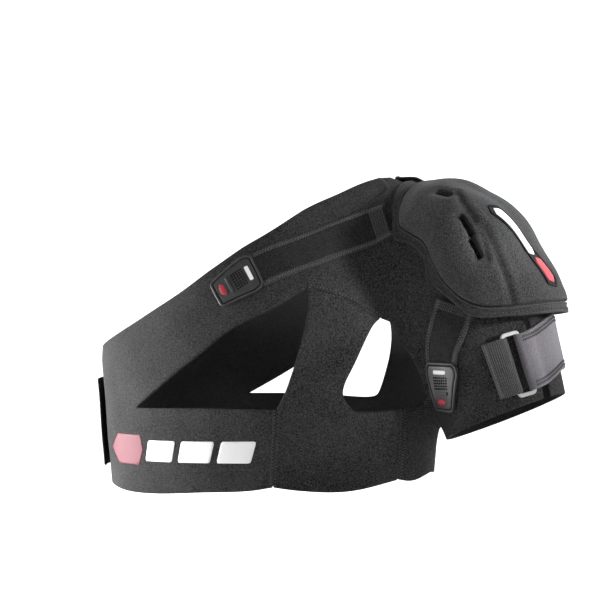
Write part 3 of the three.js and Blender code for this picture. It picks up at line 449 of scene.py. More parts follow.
# A line on a chart, to lay stitches along: places, normals and sideways directions
def trackOf(chart, line):
    points, normals = chart(evenLine(line, 1.0))
    sideways = unit(np.cross(normals, np.gradient(points, axis=0)))
    run = runOf(points)
    return {"run": run, "length": run[-1], "points": points, "normals": normals, "side": sideways}


def onTrack(track, s, t):
    points, side, normals = (readAlong(s, track["run"], track[key]) for key in ("points", "side", "normals"))
    return points + side * np.broadcast_to(t, np.shape(s))[:, None], unit(normals)


# Threads: finish, then radius, rise over the cloth and depth of the needle holes in mm
threads = {
    "seam": ("thread", 0.3, 0.25, 0.2),
    "strap": ("strapThread", 0.27, 0.3, 0.2),
    "arm": ("armThread", 0.42, 0.35, 0.2),
    "webbing": ("padThread", 0.3, 0.35, 0.2),
    "flange": ("blackThread", 0.5, 0.3, 0.25),
}
threadTaper = np.array([0.7, 1, 1, 1, 0.7])
threadSides = 5


# Each thread is an arch from one needle hole to the next
def makeThreads(name, starts, ends, normals, kind):
    finish, radius, rise, sink = threads[kind]
    sides, stations = threadSides, len(threadTaper)
    share = np.linspace(0, 1, stations)
    arch = np.sin(share * math.pi) ** 0.6 * (rise + sink) - sink
    path = starts[:, None] + (ends - starts)[:, None] * share[None, :, None]
    path = path + normals[:, None] * arch[None, :, None]
    across = unit(np.cross(normals, unit(ends - starts)))
    turn = np.arange(sides) * 2 * math.pi / sides
    ring = across[:, None, None] * np.cos(turn)[None, None, :, None]
    ring = ring + normals[:, None, None] * np.sin(turn)[None, None, :, None]
    verts = path[:, :, None] + ring * (threadTaper * radius)[None, :, None, None]
    count, each = len(starts), stations * sides
    k, j = np.meshgrid(np.arange(stations - 1), np.arange(sides), indexing="ij")
    a, b = k * sides + j, k * sides + (j + 1) % sides
    quad = np.stack([a, b, b + sides, a + sides], axis=-1).reshape(-1, 4)
    faces = (quad[None] + (np.arange(count) * each)[:, None, None]).reshape(-1, 4).tolist()
    for n in range(count):
        faces.append([n * each + j for j in reversed(range(sides))])
        faces.append([n * each + each - sides + j for j in range(sides)])
    meshObject(name, verts.reshape(-1, 3), faces, finishes[finish])


# Rows of (s, t) from and to are sewn on through place, which gives spots on the cloth and their normals
def sewRows(name, rows, place, kind):
    starts, startNormals = place(rows[:, 0], rows[:, 1])
    ends, endNormals = place(rows[:, 2], rows[:, 3])
    makeThreads(name, starts, ends, unit(startNormals + endNormals), kind)


# Materials
def addNode(tree, kind, inputs=None, **settings):
    node = tree.nodes.new(kind)
    for key, value in settings.items():
        setattr(node, key, value)
    for socket, value in (inputs or {}).items():
        if isinstance(value, bpy.types.NodeSocket):
            tree.links.new(value, node.inputs[socket])
        else:
            node.inputs[socket].default_value = value
    return node


def newGroup(name, inputs, outputs):
    group = bpy.data.node_groups.new(name, "ShaderNodeTree")
    for label, kind, value in inputs:
        socket = group.interface.new_socket(label, in_out="INPUT", socket_type=kind)
        if value is not None:
            socket.default_value = value
    for label, kind in outputs:
        group.interface.new_socket(label, in_out="OUTPUT", socket_type=kind)
    return group, group.nodes.new("NodeGroupInput"), group.nodes.new("NodeGroupOutput")


def maths(tree, operation, a, b=0.0):
    return addNode(tree, "ShaderNodeMath", {0: a, 1: b}, operation=operation).outputs[0]


def remap(tree, value, low, high, toLow=0.0, toHigh=1.0):
    limits = {"Value": value, "From Min": low, "From Max": high, "To Min": toLow, "To Max": toHigh}
    return addNode(tree, "ShaderNodeMapRange", limits).outputs[0]


def mixColour(tree, factor, a, b):
    node = addNode(tree, "ShaderNodeMix", {0: factor, 6: a, 7: b}, data_type="RGBA")
    return node.outputs[2]


def noiseAt(tree, vector, scale, detail=2.0):
    inputs = {"Vector": vector, "Scale": scale, "Detail": detail}
    return addNode(tree, "ShaderNodeTexNoise", inputs).outputs[0]


def times(tree, a, b):
    return maths(tree, "MULTIPLY", a, b)


# Knitted pile: two sizes of grain, a slow change of tone, and flecks of lint
def makeJerseyGroup():
    group, given, result = newGroup(
        "jersey",
        [
            ("Vector", "NodeSocketVector", None),
            ("Dark", "NodeSocketColor", (0.02, 0.02, 0.02, 1)),
            ("Light", "NodeSocketColor", (0.06, 0.06, 0.06, 1)),
            ("Grain", "NodeSocketFloat", 650.0),
            ("Lint", "NodeSocketFloat", 0.2),
        ],
        [("Color", "NodeSocketColor"), ("Roughness", "NodeSocketFloat"), ("Height", "NodeSocketFloat")],
    )
    vector, grain = given.outputs["Vector"], given.outputs["Grain"]
    coarse = noiseAt(group, vector, grain, 3.0)
    fine = noiseAt(group, vector, times(group, grain, 2.6), 2.0)
    slow = noiseAt(group, vector, 14.0, 3.0)
    speck = maths(group, "ADD", times(group, coarse, 0.62), times(group, fine, 0.38))
    tone = maths(group, "ADD", remap(group, speck, 0.38, 0.62), remap(group, slow, 0.3, 0.7, -0.16, 0.16))
    shade = mixColour(group, tone, given.outputs["Dark"], given.outputs["Light"])
    flecks = remap(group, noiseAt(group, vector, times(group, grain, 0.8), 0.0), 0.76, 0.82)
    lint = times(group, flecks, given.outputs["Lint"])
    group.links.new(mixColour(group, lint, shade, (0.35, 0.35, 0.36, 1)), result.inputs["Color"])
    group.links.new(remap(group, speck, 0.3, 0.7, 0.84, 0.98), result.inputs["Roughness"])
    group.links.new(speck, result.inputs["Height"])
    return group


# Woven ribs from the cloth's own flat coordinates; the mask is low in the hollows between the ribs, where
# painted shade goes
def makeWeaveGroup():
    group, given, result = newGroup(
        "weave",
        [
            ("Vector", "NodeSocketVector", None),
            ("Ribs", "NodeSocketFloat", 2200.0),
            ("Picks", "NodeSocketFloat", 2200.0),
            ("Slip", "NodeSocketFloat", 0.5),
        ],
        [("Mask", "NodeSocketFloat"), ("Height", "NodeSocketFloat")],
    )
    parts = addNode(group, "ShaderNodeSeparateXYZ", {0: given.outputs["Vector"]})
    along = times(group, parts.outputs[0], given.outputs["Ribs"])
    across = times(group, parts.outputs[1], given.outputs["Picks"])
    wobble = times(group, noiseAt(group, given.outputs["Vector"], 260.0, 2.0), given.outputs["Slip"])
    whichRib = maths(group, "FLOOR", maths(group, "DIVIDE", along, math.pi))
    offset = times(group, whichRib, math.pi / 2)
    rib = maths(group, "ABSOLUTE", maths(group, "SINE", maths(group, "ADD", along, wobble)))
    pick = maths(group, "ABSOLUTE", maths(group, "SINE", maths(group, "ADD", across, offset)))
    height = times(group, maths(group, "POWER", rib, 0.7), remap(group, pick, 0.0, 1.0, 0.45, 1.0))
    group.links.new(height, result.inputs["Height"])
    group.links.new(remap(group, height, 0.15, 0.75), result.inputs["Mask"])
    return group


# Rubbed high spots and settled dust on moulded pieces
def makeScuffGroup():
    group, given, result = newGroup(
        "scuff",
        [("Vector", "NodeSocketVector", None), ("Size", "NodeSocketFloat", 140.0)],
        [("Mask", "NodeSocketFloat"), ("Height", "NodeSocketFloat")],
    )
    vector, size = given.outputs["Vector"], given.outputs["Size"]
    patch = noiseAt(group, vector, size, 4.0)
    grain = noiseAt(group, vector, times(group, size, 11.0), 2.0)
    group.links.new(remap(group, times(group, patch, grain), 0.24, 0.4), result.inputs["Mask"])
    group.links.new(grain, result.inputs["Height"])
    return group


groups = {"jersey": makeJerseyGroup(), "weave": makeWeaveGroup(), "scuff": makeScuffGroup()}


def newMaterial(name):
    finish = bpy.data.materials.new(name)
    finish.use_nodes = True
    tree = finish.node_tree
    return finish, tree, tree.nodes["Principled BSDF"], tree.nodes.new("ShaderNodeTexCoord")


def placeGroup(tree, name, inputs):
    return addNode(tree, "ShaderNodeGroup", inputs, node_tree=groups[name])


def setShader(shader, values):
    for socket, value in values.items():
        shader.inputs[socket].default_value = value


def bumpInto(tree, shader, height, strength, distance):
    node = addNode(tree, "ShaderNodeBump", {"Height": height, "Strength": strength, "Distance": distance})
    tree.links.new(node.outputs[0], shader.inputs["Normal"])


def grey(value):
    return (value, value, value, 1)


def placeJersey(tree, places, look):
    inputs = {label: look[label.lower()] for label in ("Dark", "Light", "Grain", "Lint")}
    return placeGroup(tree, "jersey", {"Vector": places.outputs["Object"], **inputs})


# Pile cloth: dark and light shade, grain per metre, sheen and depth of the pile in metres
def clothMaterial(name, look):
    finish, tree, shader, places = newMaterial(name)
    jersey = placeJersey(tree, places, look)
    tree.links.new(jersey.outputs["Color"], shader.inputs["Base Color"])
    tree.links.new(jersey.outputs["Roughness"], shader.inputs["Roughness"])
    setShader(shader, {"Sheen Weight": look["sheen"], "Sheen Roughness": 0.45, "Specular IOR Level": 0.12})
    setShader(shader, {"Sheen Tint": sheenTint})
    bumpInto(tree, shader, jersey.outputs["Height"], look["bump"], look["pile"])
    return finish


# Woven tape: the weave reads the cloth's own flat coordinates, and the hollows between its ribs get the
# near-black gap colour as painted shade
def wovenMaterial(name, look):
    finish, tree, shader, places = newMaterial(name)
    weave = {"Vector": places.outputs["UV"], "Ribs": look["ribs"], "Picks": look["picks"], "Slip": 0.4}
    weave = placeGroup(tree, "weave", weave)
    jersey = placeJersey(tree, places, look)
    # painted shade: the near-black gap colour fills the low parts between the ribs
    shade = mixColour(tree, weave.outputs["Mask"], look["gap"], jersey.outputs["Color"])
    tree.links.new(shade, shader.inputs["Base Color"])
    tree.links.new(jersey.outputs["Roughness"], shader.inputs["Roughness"])
    setShader(shader, {"Sheen Weight": look["sheen"], "Sheen Roughness": 0.4, "Specular IOR Level": 0.35})
    bumpInto(tree, shader, weave.outputs["Height"], look["bump"], look["pile"])
    return finish


# Moulded rubber, plastic and transfer print: colour, worn colour, share of wear and patches per metre
def mouldedMaterial(name, look):
    finish, tree, shader, places = newMaterial(name)
    scuff = placeGroup(tree, "scuff", {"Vector": places.outputs["Object"], "Size": look["size"]})
    wear = times(tree, scuff.outputs["Mask"], look["wear"])
    tree.links.new(mixColour(tree, wear, look["colour"], look["worn"]), shader.inputs["Base Color"])
    rough = remap(tree, scuff.outputs["Height"], 0.3, 0.7, look["rough"] - 0.06, look["rough"] + 0.1)
    tree.links.new(rough, shader.inputs["Roughness"])
    setShader(shader, {"Specular IOR Level": look["gloss"]})
    bumpInto(tree, shader, scuff.outputs["Height"], look["bump"], 0.0002)
    return finish


sheenTint = (0.75, 0.76, 0.8, 1)


# Base looks, and what each finish changes in one of them
def cloth(dark, light, grain, sheen, bump, pile, lint=0.02):
    look = {"dark": dark, "light": light, "grain": grain, "lint": lint}
    return {**look, "sheen": sheen, "bump": bump, "pile": pile}


def moulded(colour, worn, wear, rough, gloss, bump, size):
    look = {"colour": colour, "worn": worn, "wear": wear, "rough": rough}
    return {**look, "gloss": gloss, "bump": bump, "size": size}


armDark, armLight = (0.075, 0.07, 0.078, 1), (0.135, 0.128, 0.14, 1)
red, redWorn = (0.27, 0.014, 0.026, 1), (0.18, 0.014, 0.022, 1)
fadedRed, fadedWorn = (0.13, 0.03, 0.042, 1), (0.1, 0.025, 0.034, 1)
clothLooks = {
    "panel": ("panelJersey", cloth(grey(0.0), grey(0.048), 820.0, 0.01, 1.0, 0.0016)),
    "lining": ("liningJersey", cloth(grey(0.006), grey(0.022), 900.0, 0.01, 1.0, 0.0016)),
    "pad": ("padJersey", cloth(grey(0.006), grey(0.046), 900.0, 0.07, 0.8, 0.0009)),
    "strap": ("strapCloth", cloth(grey(0.002), grey(0.026), 760.0, 0.03, 0.4, 0.0016)),
    "border": ("borderCloth", cloth(grey(0.01), grey(0.05), 900.0, 0.05, 0.4, 0.0016)),
    "cord": ("pipingCord", cloth(grey(0.02), grey(0.06), 1300.0, 0.07, 0.8, 0.0009)),
    "arm": ("armStrapCloth", cloth(armDark, armLight, 1100.0, 0.2, 0.8, 0.0009)),
    "core": ("cutFoam", cloth(grey(0.004), grey(0.009), 1500.0, 0.0, 1.0, 0.0016, 0.05)),
}
webbingLook = cloth(grey(0.03), grey(0.1), 1500.0, 0.15, 0.8, 0.0005, 0.1)
# gap is a near-black painted shade for the hollows between the woven ribs
webbingLook.update({"gap": grey(0.003), "ribs": 2300.0, "picks": 2400.0})
mouldedLooks = {
    # badge: the badge's black rubber, also laid on the tabs' groove floors as painted shade
    "badge": ("badgeRubberAndGrooveShade", moulded(grey(0.004), grey(0.012), 0.5, 0.7, 0.1, 0.15, 160.0)),
    "rubber": ("mouldedRubber", moulded(grey(0.012), grey(0.034), 0.5, 0.5, 0.4, 0.15, 160.0)),
    # rim: lighter rubber laid on the tabs' raised rim tops as a painted highlight
    "rim": ("rubberRimPaintedHighlight", moulded(grey(0.02), grey(0.055), 0.5, 0.42, 0.4, 0.15, 160.0)),
    "ring": ("ringPlastic", moulded(grey(0.34), grey(0.5), 0.5, 0.38, 0.5, 0.06, 120.0)),
    "white": ("whiteTransfer", moulded(grey(0.62), grey(0.5), 0.25, 0.5, 0.4, 0.1, 180.0)),
    "red": ("redRubber", moulded(red, redWorn, 0.25, 0.5, 0.3, 0.1, 180.0)),
    "printRed": ("redTransfer", moulded(fadedRed, fadedWorn, 0.25, 0.5, 0.05, 0.1, 180.0)),
    "thread": ("darkThread", moulded(grey(0.022), grey(0.05), 0.6, 0.55, 0.4, 0.3, 900.0)),
    "strapThread": ("strapThread", moulded(grey(0.055), grey(0.11), 0.6, 0.55, 0.4, 0.3, 900.0)),
    "padThread": ("padThread", moulded(grey(0.1), grey(0.16), 0.6, 0.55, 0.4, 0.3, 900.0)),
    "blackThread": ("blackThread", moulded(grey(0.012), grey(0.03), 0.6, 0.55, 0.4, 0.3, 900.0)),
    "armThread": ("armThread", moulded((0.03, 0.029, 0.032, 1), grey(0.06), 0.6, 0.55, 0.4, 0.3, 900.0)),
}
finishes = {key: clothMaterial(name, look) for key, (name, look) in clothLooks.items()}
finishes["webbing"] = wovenMaterial("elasticWebbing", webbingLook)
finishes.update({key: mouldedMaterial(name, look) for key, (name, look) in mouldedLooks.items()})
print("materials made:", len(finishes))

# Camera, floor and light
view = {"azimuth": 28, "distance": 1400, "aim": (-114, -16, -107), "lens": 85.26}
aim = Vector(view["aim"]) * mm
turn = math.radians(view["azimuth"])
back = Vector((math.sin(turn), -math.cos(turn), 0))
cameraData = bpy.data.cameras.new("camera")
cameraData.lens = view["lens"]
cameraData.sensor_width = 36
camera = bpy.data.objects.new("camera", cameraData)
camera.location = aim + back * view["distance"] * mm
camera.rotation_euler = (-back).to_track_quat("-Z", "Y").to_euler()
bpy.context.scene.collection.objects.link(camera)
bpy.context.scene.camera = camera

# a round studio floor whose rim curves up all round
studio = {"floorZ": -0.52, "flatRadius": 2.1, "cornerRadius": 1.1, "wallTop": 3.0, "steps": 10}
paper = {"low": 0.88, "high": 0.91, "cloudsPerMetre": 3.0, "roughness": 0.9}


def makeFloor():
    low, corner, inner = studio["floorZ"], studio["cornerRadius"], studio["flatRadius"]
    bpy.ops.mesh.primitive_circle_add(vertices=96, radius=inner, fill_type="NOTHING", location=(0, 0, low))
    floor = bpy.context.object
    floor.name = "studioFloor"
    bpy.ops.object.transform_apply(location=True)
    bpy.ops.object.mode_set(mode="EDIT")
    bpy.ops.mesh.select_mode(type="EDGE")
    bpy.ops.mesh.select_all(action="SELECT")
    steps = studio["steps"]
    reach = [inner + corner * math.sin(math.pi / 2 * k / steps) for k in range(steps + 1)]
    height = [corner * (1 - math.cos(math.pi / 2 * k / steps)) for k in range(steps + 1)]
    for k in range(steps):
        bpy.ops.mesh.extrude_edges_move(TRANSFORM_OT_translate={"value": (0, 0, height[k + 1] - height[k])})
        grow = reach[k + 1] / reach[k]
        bpy.ops.transform.resize(value=(grow, grow, 1), center_override=(0, 0, 0))
    wallRise = studio["wallTop"] - low - corner
    bpy.ops.mesh.extrude_edges_move(TRANSFORM_OT_translate={"value": (0, 0, wallRise)})
    bpy.ops.mesh.select_all(action="DESELECT")
    mesh = bmesh.from_edit_mesh(floor.data)
    for edge in mesh.edges:
        edge.select = all(abs(v.co.z - low) < 1e-5 for v in edge.verts)
    bmesh.update_edit_mesh(floor.data)
    bpy.ops.mesh.edge_face_add()
    bpy.ops.object.mode_set(mode="OBJECT")
    bpy.ops.object.shade_smooth()
    finish, tree, shader, places = newMaterial("studioPaper")
    clouds = noiseAt(tree, places.outputs["Object"], paper["cloudsPerMetre"])
    shade = remap(tree, clouds, 0.3, 0.7, paper["low"], paper["high"])
    colour = addNode(tree, "ShaderNodeCombineXYZ", {0: shade, 1: shade, 2: shade})
    tree.links.new(colour.outputs[0], shader.inputs["Base Color"])
    shader.inputs["Roughness"].default_value = paper["roughness"]
    floor.data.materials.append(finish)


# azimuth from the front in degrees, height and distance from the aim and size in metres, power in watts
def addLight(name, azimuth, height, distance, size, power, spread=180, aimAt=None):
    data = bpy.data.lights.new(name, "AREA")
    data.shape = "RECTANGLE"
    data.size, data.size_y = size
    data.energy = power
    data.spread = math.radians(spread)
    light = bpy.data.objects.new(name, data)
    angle = math.radians(azimuth)
    place = aim + Vector((math.sin(angle) * distance, -math.cos(angle) * distance, height))
    light.location = place
    light.rotation_euler = ((aimAt or aim) - place).to_track_quat("-Z", "Y").to_euler()
    light.visible_camera = False
    bpy.context.scene.collection.objects.link(light)


makeFloor()
addLight("keyLeft", -78, -0.2, 1.7, (0.7, 0.5), 118)
addLight("backWash", 208, 0.5, 0.6, (1.4, 0.5), 50, aimAt=aim + Vector((-1.41, 2.65, 0.6)))
addLight("capRight", 88, 0.35, 1.3, (0.15, 0.15), 0.24, spread=12, aimAt=Vector((0.07, -0.05, -0.07)))
addLight("rimRight", 118, 0.9, 1.5, (0.8, 0.8), 26)
addLight("rimLeft", -150, 0.6, 1.8, (0.9, 1.4), 6)
world = bpy.data.worlds.new("studioAir")
world.use_nodes = True
world.node_tree.nodes["Background"].inputs["Color"].default_value = (1, 1, 1, 1)
world.node_tree.nodes["Background"].inputs["Strength"].default_value = 0.16
bpy.context.scene.world = world
bpy.context.scene.view_settings.view_transform = "Standard"
print("camera, floor and lights placed")

# Panels: edges and seams as (turn in degrees from the front middle, height)
edges = {
    "frontTop": [
        (-90, 12), (-68, 17), (-48, 35.5), (-20, 78), (0.6, 114.5), (18, 136.5), (51, 156), (76, 153),
        (92, 149),
    ],
    "backTop": [
        (102, 146), (118, 143), (140, 136), (160, 122), (180, 100), (202, 68), (228, 34), (248, 17),
        (270, 12),
    ],
    "ridge": [(100, 146), (94, 148)],
    "seamA": [(94, 148), (85, 133), (76, 130), (65, 119), (53.5, 99), (46, 79)],
    "seamB": [(46, 79), (53.7, 70.5), (59.6, 60.7), (69, 42)],
    "seam1": [(32.7, -36), (32.4, -63.5), (31.5, -107.5)],
    "seam2": [(75.6, -36), (75.9, -65), (75.8, -102)],
    "leftBottom": [(-38.5, -40), (-1.5, -36.8), (32.7, -36)],
    "leftTop": [(-38.5, -40), (-6.2, 7), (13.6, 43.5), (33.3, 64), (46, 79)],
    "leftSide": [(32.7, -36), (36, -20), (44.5, 53), (46, 79)],
    "rightSide": [(69, 42), (66.2, 37), (59.9, 9), (55.8, -22), (59.5, -37.2)],
    "rightFront": [(59.5, -37.2), (66.4, -37.6), (75.6, -36)],
    "rightUnder": [(75.6, -36), (80, -34.5), (83, -31)],
    "rightStrip": [(69, 42), (73, 36), (74.5, 22), (77.8, 6.4), (81.2, -12.4), (83, -31)],
    "bottomFront": [(-90, -118), (-47, -123), (-2, -115.5), (21.4, -111.5), (31.5, -107.5)],
    "bottomCentre": [(31.5, -107.5), (41, -110), (58, -111), (75.8, -102)],
    "bottomSide": [(75.8, -102), (81, -104.5), (93, -100), (105, -104), (112, -102)],
    "bottomBack": [(112, -102), (140, -110), (182, -114), (228, -121), (270, -118)],
    "sideBack": [(100.5, -34), (108, -60), (112, -102)],
    "shoulderBack": [(100, 146), (108, 132), (118, 114), (124, 92), (121, 64), (110, 40)],
    "backOpening": [
        (218, -38), (186, -37), (149, -36), (147, -30), (140, 42),
        (143, 58), (150, 56), (168, 37), (187, 4), (218, -38),
    ],
    "closureFront": [(-90, 12), (-90, -118)],
    "closureBack": [(270, 12), (270, -118)],
    "armpitEdge": [(83, -31), (83.8, -35)],
    "underArm": [(83.8, -35), (85.2, -43.5), (88, -51.5), (92, -55.5), (96, -51.5), (99, -43), (100.5, -34)],
    "backArm": [(100.5, -34), (103.5, -10), (106.5, 15), (110, 40)],
}
armhole = {  # (distance from the chest middle, run from the ridge)
    "front": [(186, 0), (190, 40), (196, 90), (197, 140), (191, 185)],
    "back": [(186, 0), (187, -50), (180, -95), (170, -120)],
}
fine = 3.0  # mm between the points of a panel


def degreesToRun(rows):
    return [(math.radians(turn) * trunk["radius"], height) for turn, height in rows]


def edge(name, backwards=False):
    curve = smoothCurve(degreesToRun(edges[name]), fine)
    return curve[::-1] if backwards else curve


def girdleEdge(name, end):
    last = findGirdle(onTrunk(np.array(degreesToRun([end])))[0])[0]
    return smoothCurve([*armhole[name], tuple(last)], fine)


def toGirdle(curve):
    return findGirdle(onTrunk(curve)[0])


outlines = {
    "chest": joined(
        edge("frontTop"), edge("seamA"), edge("leftTop", True), edge("leftBottom"), edge("seam1"),
        edge("bottomFront", True), edge("closureFront", True),
    ),
    "centre": joined(
        edge("seamB"), edge("rightSide"), edge("rightFront"), edge("seam2"), edge("bottomCentre", True),
        edge("seam1", True), edge("leftSide"),
    ),
    "side": joined(
        edge("rightUnder"), edge("armpitEdge"), edge("underArm"), edge("sideBack"),
        edge("bottomSide", True), edge("seam2", True),
    ),
    "back": joined(
        edge("backTop"), edge("closureBack"), edge("bottomBack", True), edge("sideBack", True),
        edge("backArm"), edge("shoulderBack", True),
    ),
}
frontRim = girdleEdge("front", edges["underArm"][0])
backRim = girdleEdge("back", edges["backArm"][-1])
outlines["shoulder"] = joined(
    toGirdle(edge("ridge")), toGirdle(edge("seamA")), toGirdle(edge("seamB")), toGirdle(edge("rightStrip")),
    toGirdle(edge("armpitEdge")), frontRim[::-1], backRim, toGirdle(edge("shoulderBack", True)),
)

# Sleeve, cut from the armhole down to its hem: degrees on the fan and round the arm, widths in mm
sleeveCut = {
    "hemFan": 23.5, "slitTurn": 27, "slitWidth": 8, "slitTopWidth": 1, "slitTopShare": 0.3, "rimStep": 2,
}
wholeTurn = 2 * math.pi * sleeve["aroundRadius"]
slitStart = math.radians(sleeveCut["slitTurn"]) * sleeve["aroundRadius"]
hemRun = math.radians(sleeveCut["hemFan"]) * sleeve["fanRadius"]
armholePlaces = np.vstack([
    onGirdle(frontRim)[0], onTrunk(edge("underArm"))[0], onTrunk(edge("backArm"))[0], onGirdle(backRim)[0],
])
sleeveRim = findSleeve(armholePlaces)
sleeveRim[:, 0] = np.where(sleeveRim[:, 0] < slitStart, sleeveRim[:, 0] + wholeTurn, sleeveRim[:, 0])
sleeveRim = sleeveRim[np.argsort(sleeveRim[:, 0])]
spread = [sleeveRim[0]]
for spot in sleeveRim:
    if spot[0] - spread[-1][0] > sleeveCut["rimStep"]:
        spread.append(spot)
sleeveRim = np.array(spread) - [0, wall["seam"] / 2]
slitTop = sleeveRim[0][1]
slitEnd = slitStart + wholeTurn - sleeveCut["slitTopWidth"]


def slitSide(u, widening):
    share = np.linspace(0, 1, 30)
    opened = np.maximum(0, (share - sleeveCut["slitTopShare"]) / (1 - sleeveCut["slitTopShare"]))
    return np.stack([u + widening * opened, slitTop + (hemRun - slitTop) * share], axis=1)


halfSlit = sleeveCut["slitWidth"] / 2
hemLine = evenLine(np.array([[slitEnd - halfSlit, hemRun], [slitStart + halfSlit, hemRun]]), fine)
keepRim = sleeveRim[:, 0] > slitStart + sleeveCut["rimStep"]
keepRim &= sleeveRim[:, 0] < slitEnd - sleeveCut["rimStep"]
outlines["sleeve"] = joined(
    np.array([[slitStart, slitTop]]), sleeveRim[keepRim], np.array([[slitEnd, slitTop]]),
    slitSide(slitEnd, -halfSlit), hemLine, slitSide(slitStart, halfSlit)[::-1],
)

# Folds and pulls in the cloth: from, to (places on the skin), half width and height in mm
pulls = [
    {"from": (28, -60, -188), "to": (62, -64, -150), "half": 7, "height": -1.3},
    {"from": (34, -58, -214), "to": (80, -62, -196), "half": 6, "height": 1.2},
    {"from": (44, -58, -226), "to": (92, -66, -216), "half": 6, "height": -1.0},
    {"from": (-28, -84, -98), "to": (18, -74, -150), "half": 9, "height": 0.9},
    {"from": (-60, -98, -92), "to": (10, -80, -108), "half": 8, "height": -0.9},
    {"from": (-5, -78, -70), "to": (40, -70, -120), "half": 10, "height": 0.8},
    {"from": (-240, -120, -150), "to": (-300, -60, -185), "half": 12, "height": 0.8},
    {"from": (-262, -90, -205), "to": (-310, -50, -205), "half": 9, "height": -0.9},
    {"from": (-100, -130, -220), "to": (-60, -112, -250), "half": 12, "height": 0.7},
    {"from": (5, -60, -215), "to": (22, -40, -270), "half": 8, "height": 0.9},
    {"from": (26, 40, -200), "to": (60, 56, -150), "half": 8, "height": -1.2},
    {"from": (10, 60, -190), "to": (-40, 90, -150), "half": 9, "height": 1.0},
    {"from": (-250, 95, -170), "to": (-300, 50, -200), "half": 10, "height": -0.9},
]


# Slow waves of the cloth: height, size in mm and seed; and where the stiff cap presses it flat
clothWaves = ((0.45, 62, 1), (0.22, 24, 2))
capPress = {"centre": (88, -6, -32), "from": 96, "to": 122}


def pullAt(points):
    height = np.zeros(len(points))
    for pull in pulls:
        share, away = alongAndAway(points, pull["from"], pull["to"])
        ends = np.sin(np.clip(share * 0.8 + 0.1, 0, 1) * math.pi)
        height += pull["height"] * bump(away, 0, pull["half"]) * ends
    return height


def panelRelief(uv, points):
    away = np.linalg.norm(points - np.array(capPress["centre"]), axis=1)
    waves = sum(height * swell(points, size, seed) for height, size, seed in clothWaves)
    return smoothStep(away, capPress["from"], capPress["to"]) * (waves + pullAt(points))


panels = {
    "chestPanel": {"node": "chest_panel", "chart": onTrunk, "outline": "chest"},
    "centrePanel": {"node": "centre_panel", "chart": onTrunk, "outline": "centre"},
    "sidePanel": {"node": "side_panel", "chart": onTrunk, "outline": "side"},
    "backPanel": {"node": "back_panel", "chart": onTrunk, "outline": "back"},
    "shoulderPanel": {"node": "shoulder_panel", "chart": onGirdle, "outline": "shoulder"},
    "sleevePanel": {"node": "sleeve", "chart": onSleeve, "outline": "sleeve"},
}
openingHole = smoothCurve(degreesToRun(edges["backOpening"]), fine)[:-1]
for name, panel in panels.items():
    options = {"relief": panelRelief, "spacing": fine, "cutEdge": True}
    if name == "backPanel":
        options["holes"] = [openingHole]
    piece = makeSheet(name, panel["chart"], outlines[panel["outline"]], finishes["panel"], options)
    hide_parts(panel["node"])
    print(name, len(piece.data.polygons), "faces, cloth area", round(piece["clothArea"], 4))


# Closure flap on the wearer's right; it lifts a little towards the front, between two turns
flapCorners = [(-108, -14), (-73, -16), (-71, -104), (-108, -106)]
flapRise = {"rest": 0.2, "height": 3, "from": -98, "to": -73}


def flapLift(uv, points):
    turn = np.degrees(uv[:, 0] / trunk["radius"])
    return layer + flapRise["rest"] + flapRise["height"] * smoothStep(turn, flapRise["from"], flapRise["to"])


flapOutline = straightOutline(degreesToRun(flapCorners), fine)
flap = makeSheet("closureFlap", onTrunk, flapOutline, finishes["strap"], {
    "lift": flapLift, "wall": 2.4, "relief": panelRelief, "edge": 0.7,
})
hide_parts("closure_flap")

# Chest print, on the cloth and with it: slanted pale bars and a plain red hexagon.
# The row lies lower towards its left end: turns in degrees and drops in mm.
printPlan = {"height": -74, "tall": 20, "slant": 7, "turns": (-56, 23.5), "drops": (8, 1.5), "sunk": 0.1}
redCuts = {"low": (16, 9), "high": (16, 3), "point": 1}  # from the left and right ends, in mm
prints = {
    "printBar1": ("print_bar_1", -33, -17, 20, "white", "pale_trim"),
    "printBar2": ("print_bar_2", -13.5, 4, 20, "white", "pale_trim"),
    "printBar3": ("print_bar_3", 7.5, 23.5, 20, "white", "pale_trim"),
    "printRed": ("print_red", -60, -35.5, 29, "printRed", "red_trim"),
}


def turnToRun(turn):
    return math.radians(turn) * trunk["radius"]


# A closed outline from corners, each rounded off, lowered with the row of the print
def roundedOutline(corners, radius):
    corners = np.array(corners, float)
    rows = []
    for before, at, after in zip(np.roll(corners, 1, axis=0), corners, np.roll(corners, -1, axis=0)):
        start, end = at + unit(before - at) * radius, at + unit(after - at) * radius
        rows += [start * (1 - t) ** 2 + at * 2 * t * (1 - t) + end * t**2 for t in (0, 0.25, 0.5, 0.75, 1)]
    outline = straightOutline(rows, 2)
    rowEnds = [turnToRun(turn) for turn in printPlan["turns"]]
    outline[:, 1] -= np.interp(outline[:, 0], rowEnds, printPlan["drops"])
    return outline


def slantedBar(left, right, low, high):
    lean = printPlan["slant"] * (high - low) / printPlan["tall"] / 2
    corners = [(left - lean, low), (right - lean, low), (right + lean, high), (left + lean, high)]
    return roundedOutline(corners, 2.2)


def hexagon(left, right, low, high):
    fromLeft, fromRight = zip(redCuts["low"], redCuts["high"])
    middle = (low + high) / 2
    return roundedOutline([
        (left + fromLeft[0], low), (right - fromRight[0], low), (right, middle),
        (right - fromRight[1], high), (left + fromLeft[1], high), (left - redCuts["point"], middle),
    ], 1.2)


for name, (node, fromTurn, toTurn, tall, finish, slot) in prints.items():
    ends = turnToRun(fromTurn), turnToRun(toTurn)
    levels = printPlan["height"] - tall / 2, printPlan["height"] + tall / 2
    outline = (hexagon if name == "printRed" else slantedBar)(*ends, *levels)
    piece = makeSheet(name, onTrunk, outline, finishes[finish], {
        "lift": wall["panel"] - printPlan["sunk"], "wall": wall["print"], "relief": panelRelief,
        "spacing": 2.5, "margin": 0, "edge": 0.15,
    })
    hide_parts(node)
print("flap and print made")

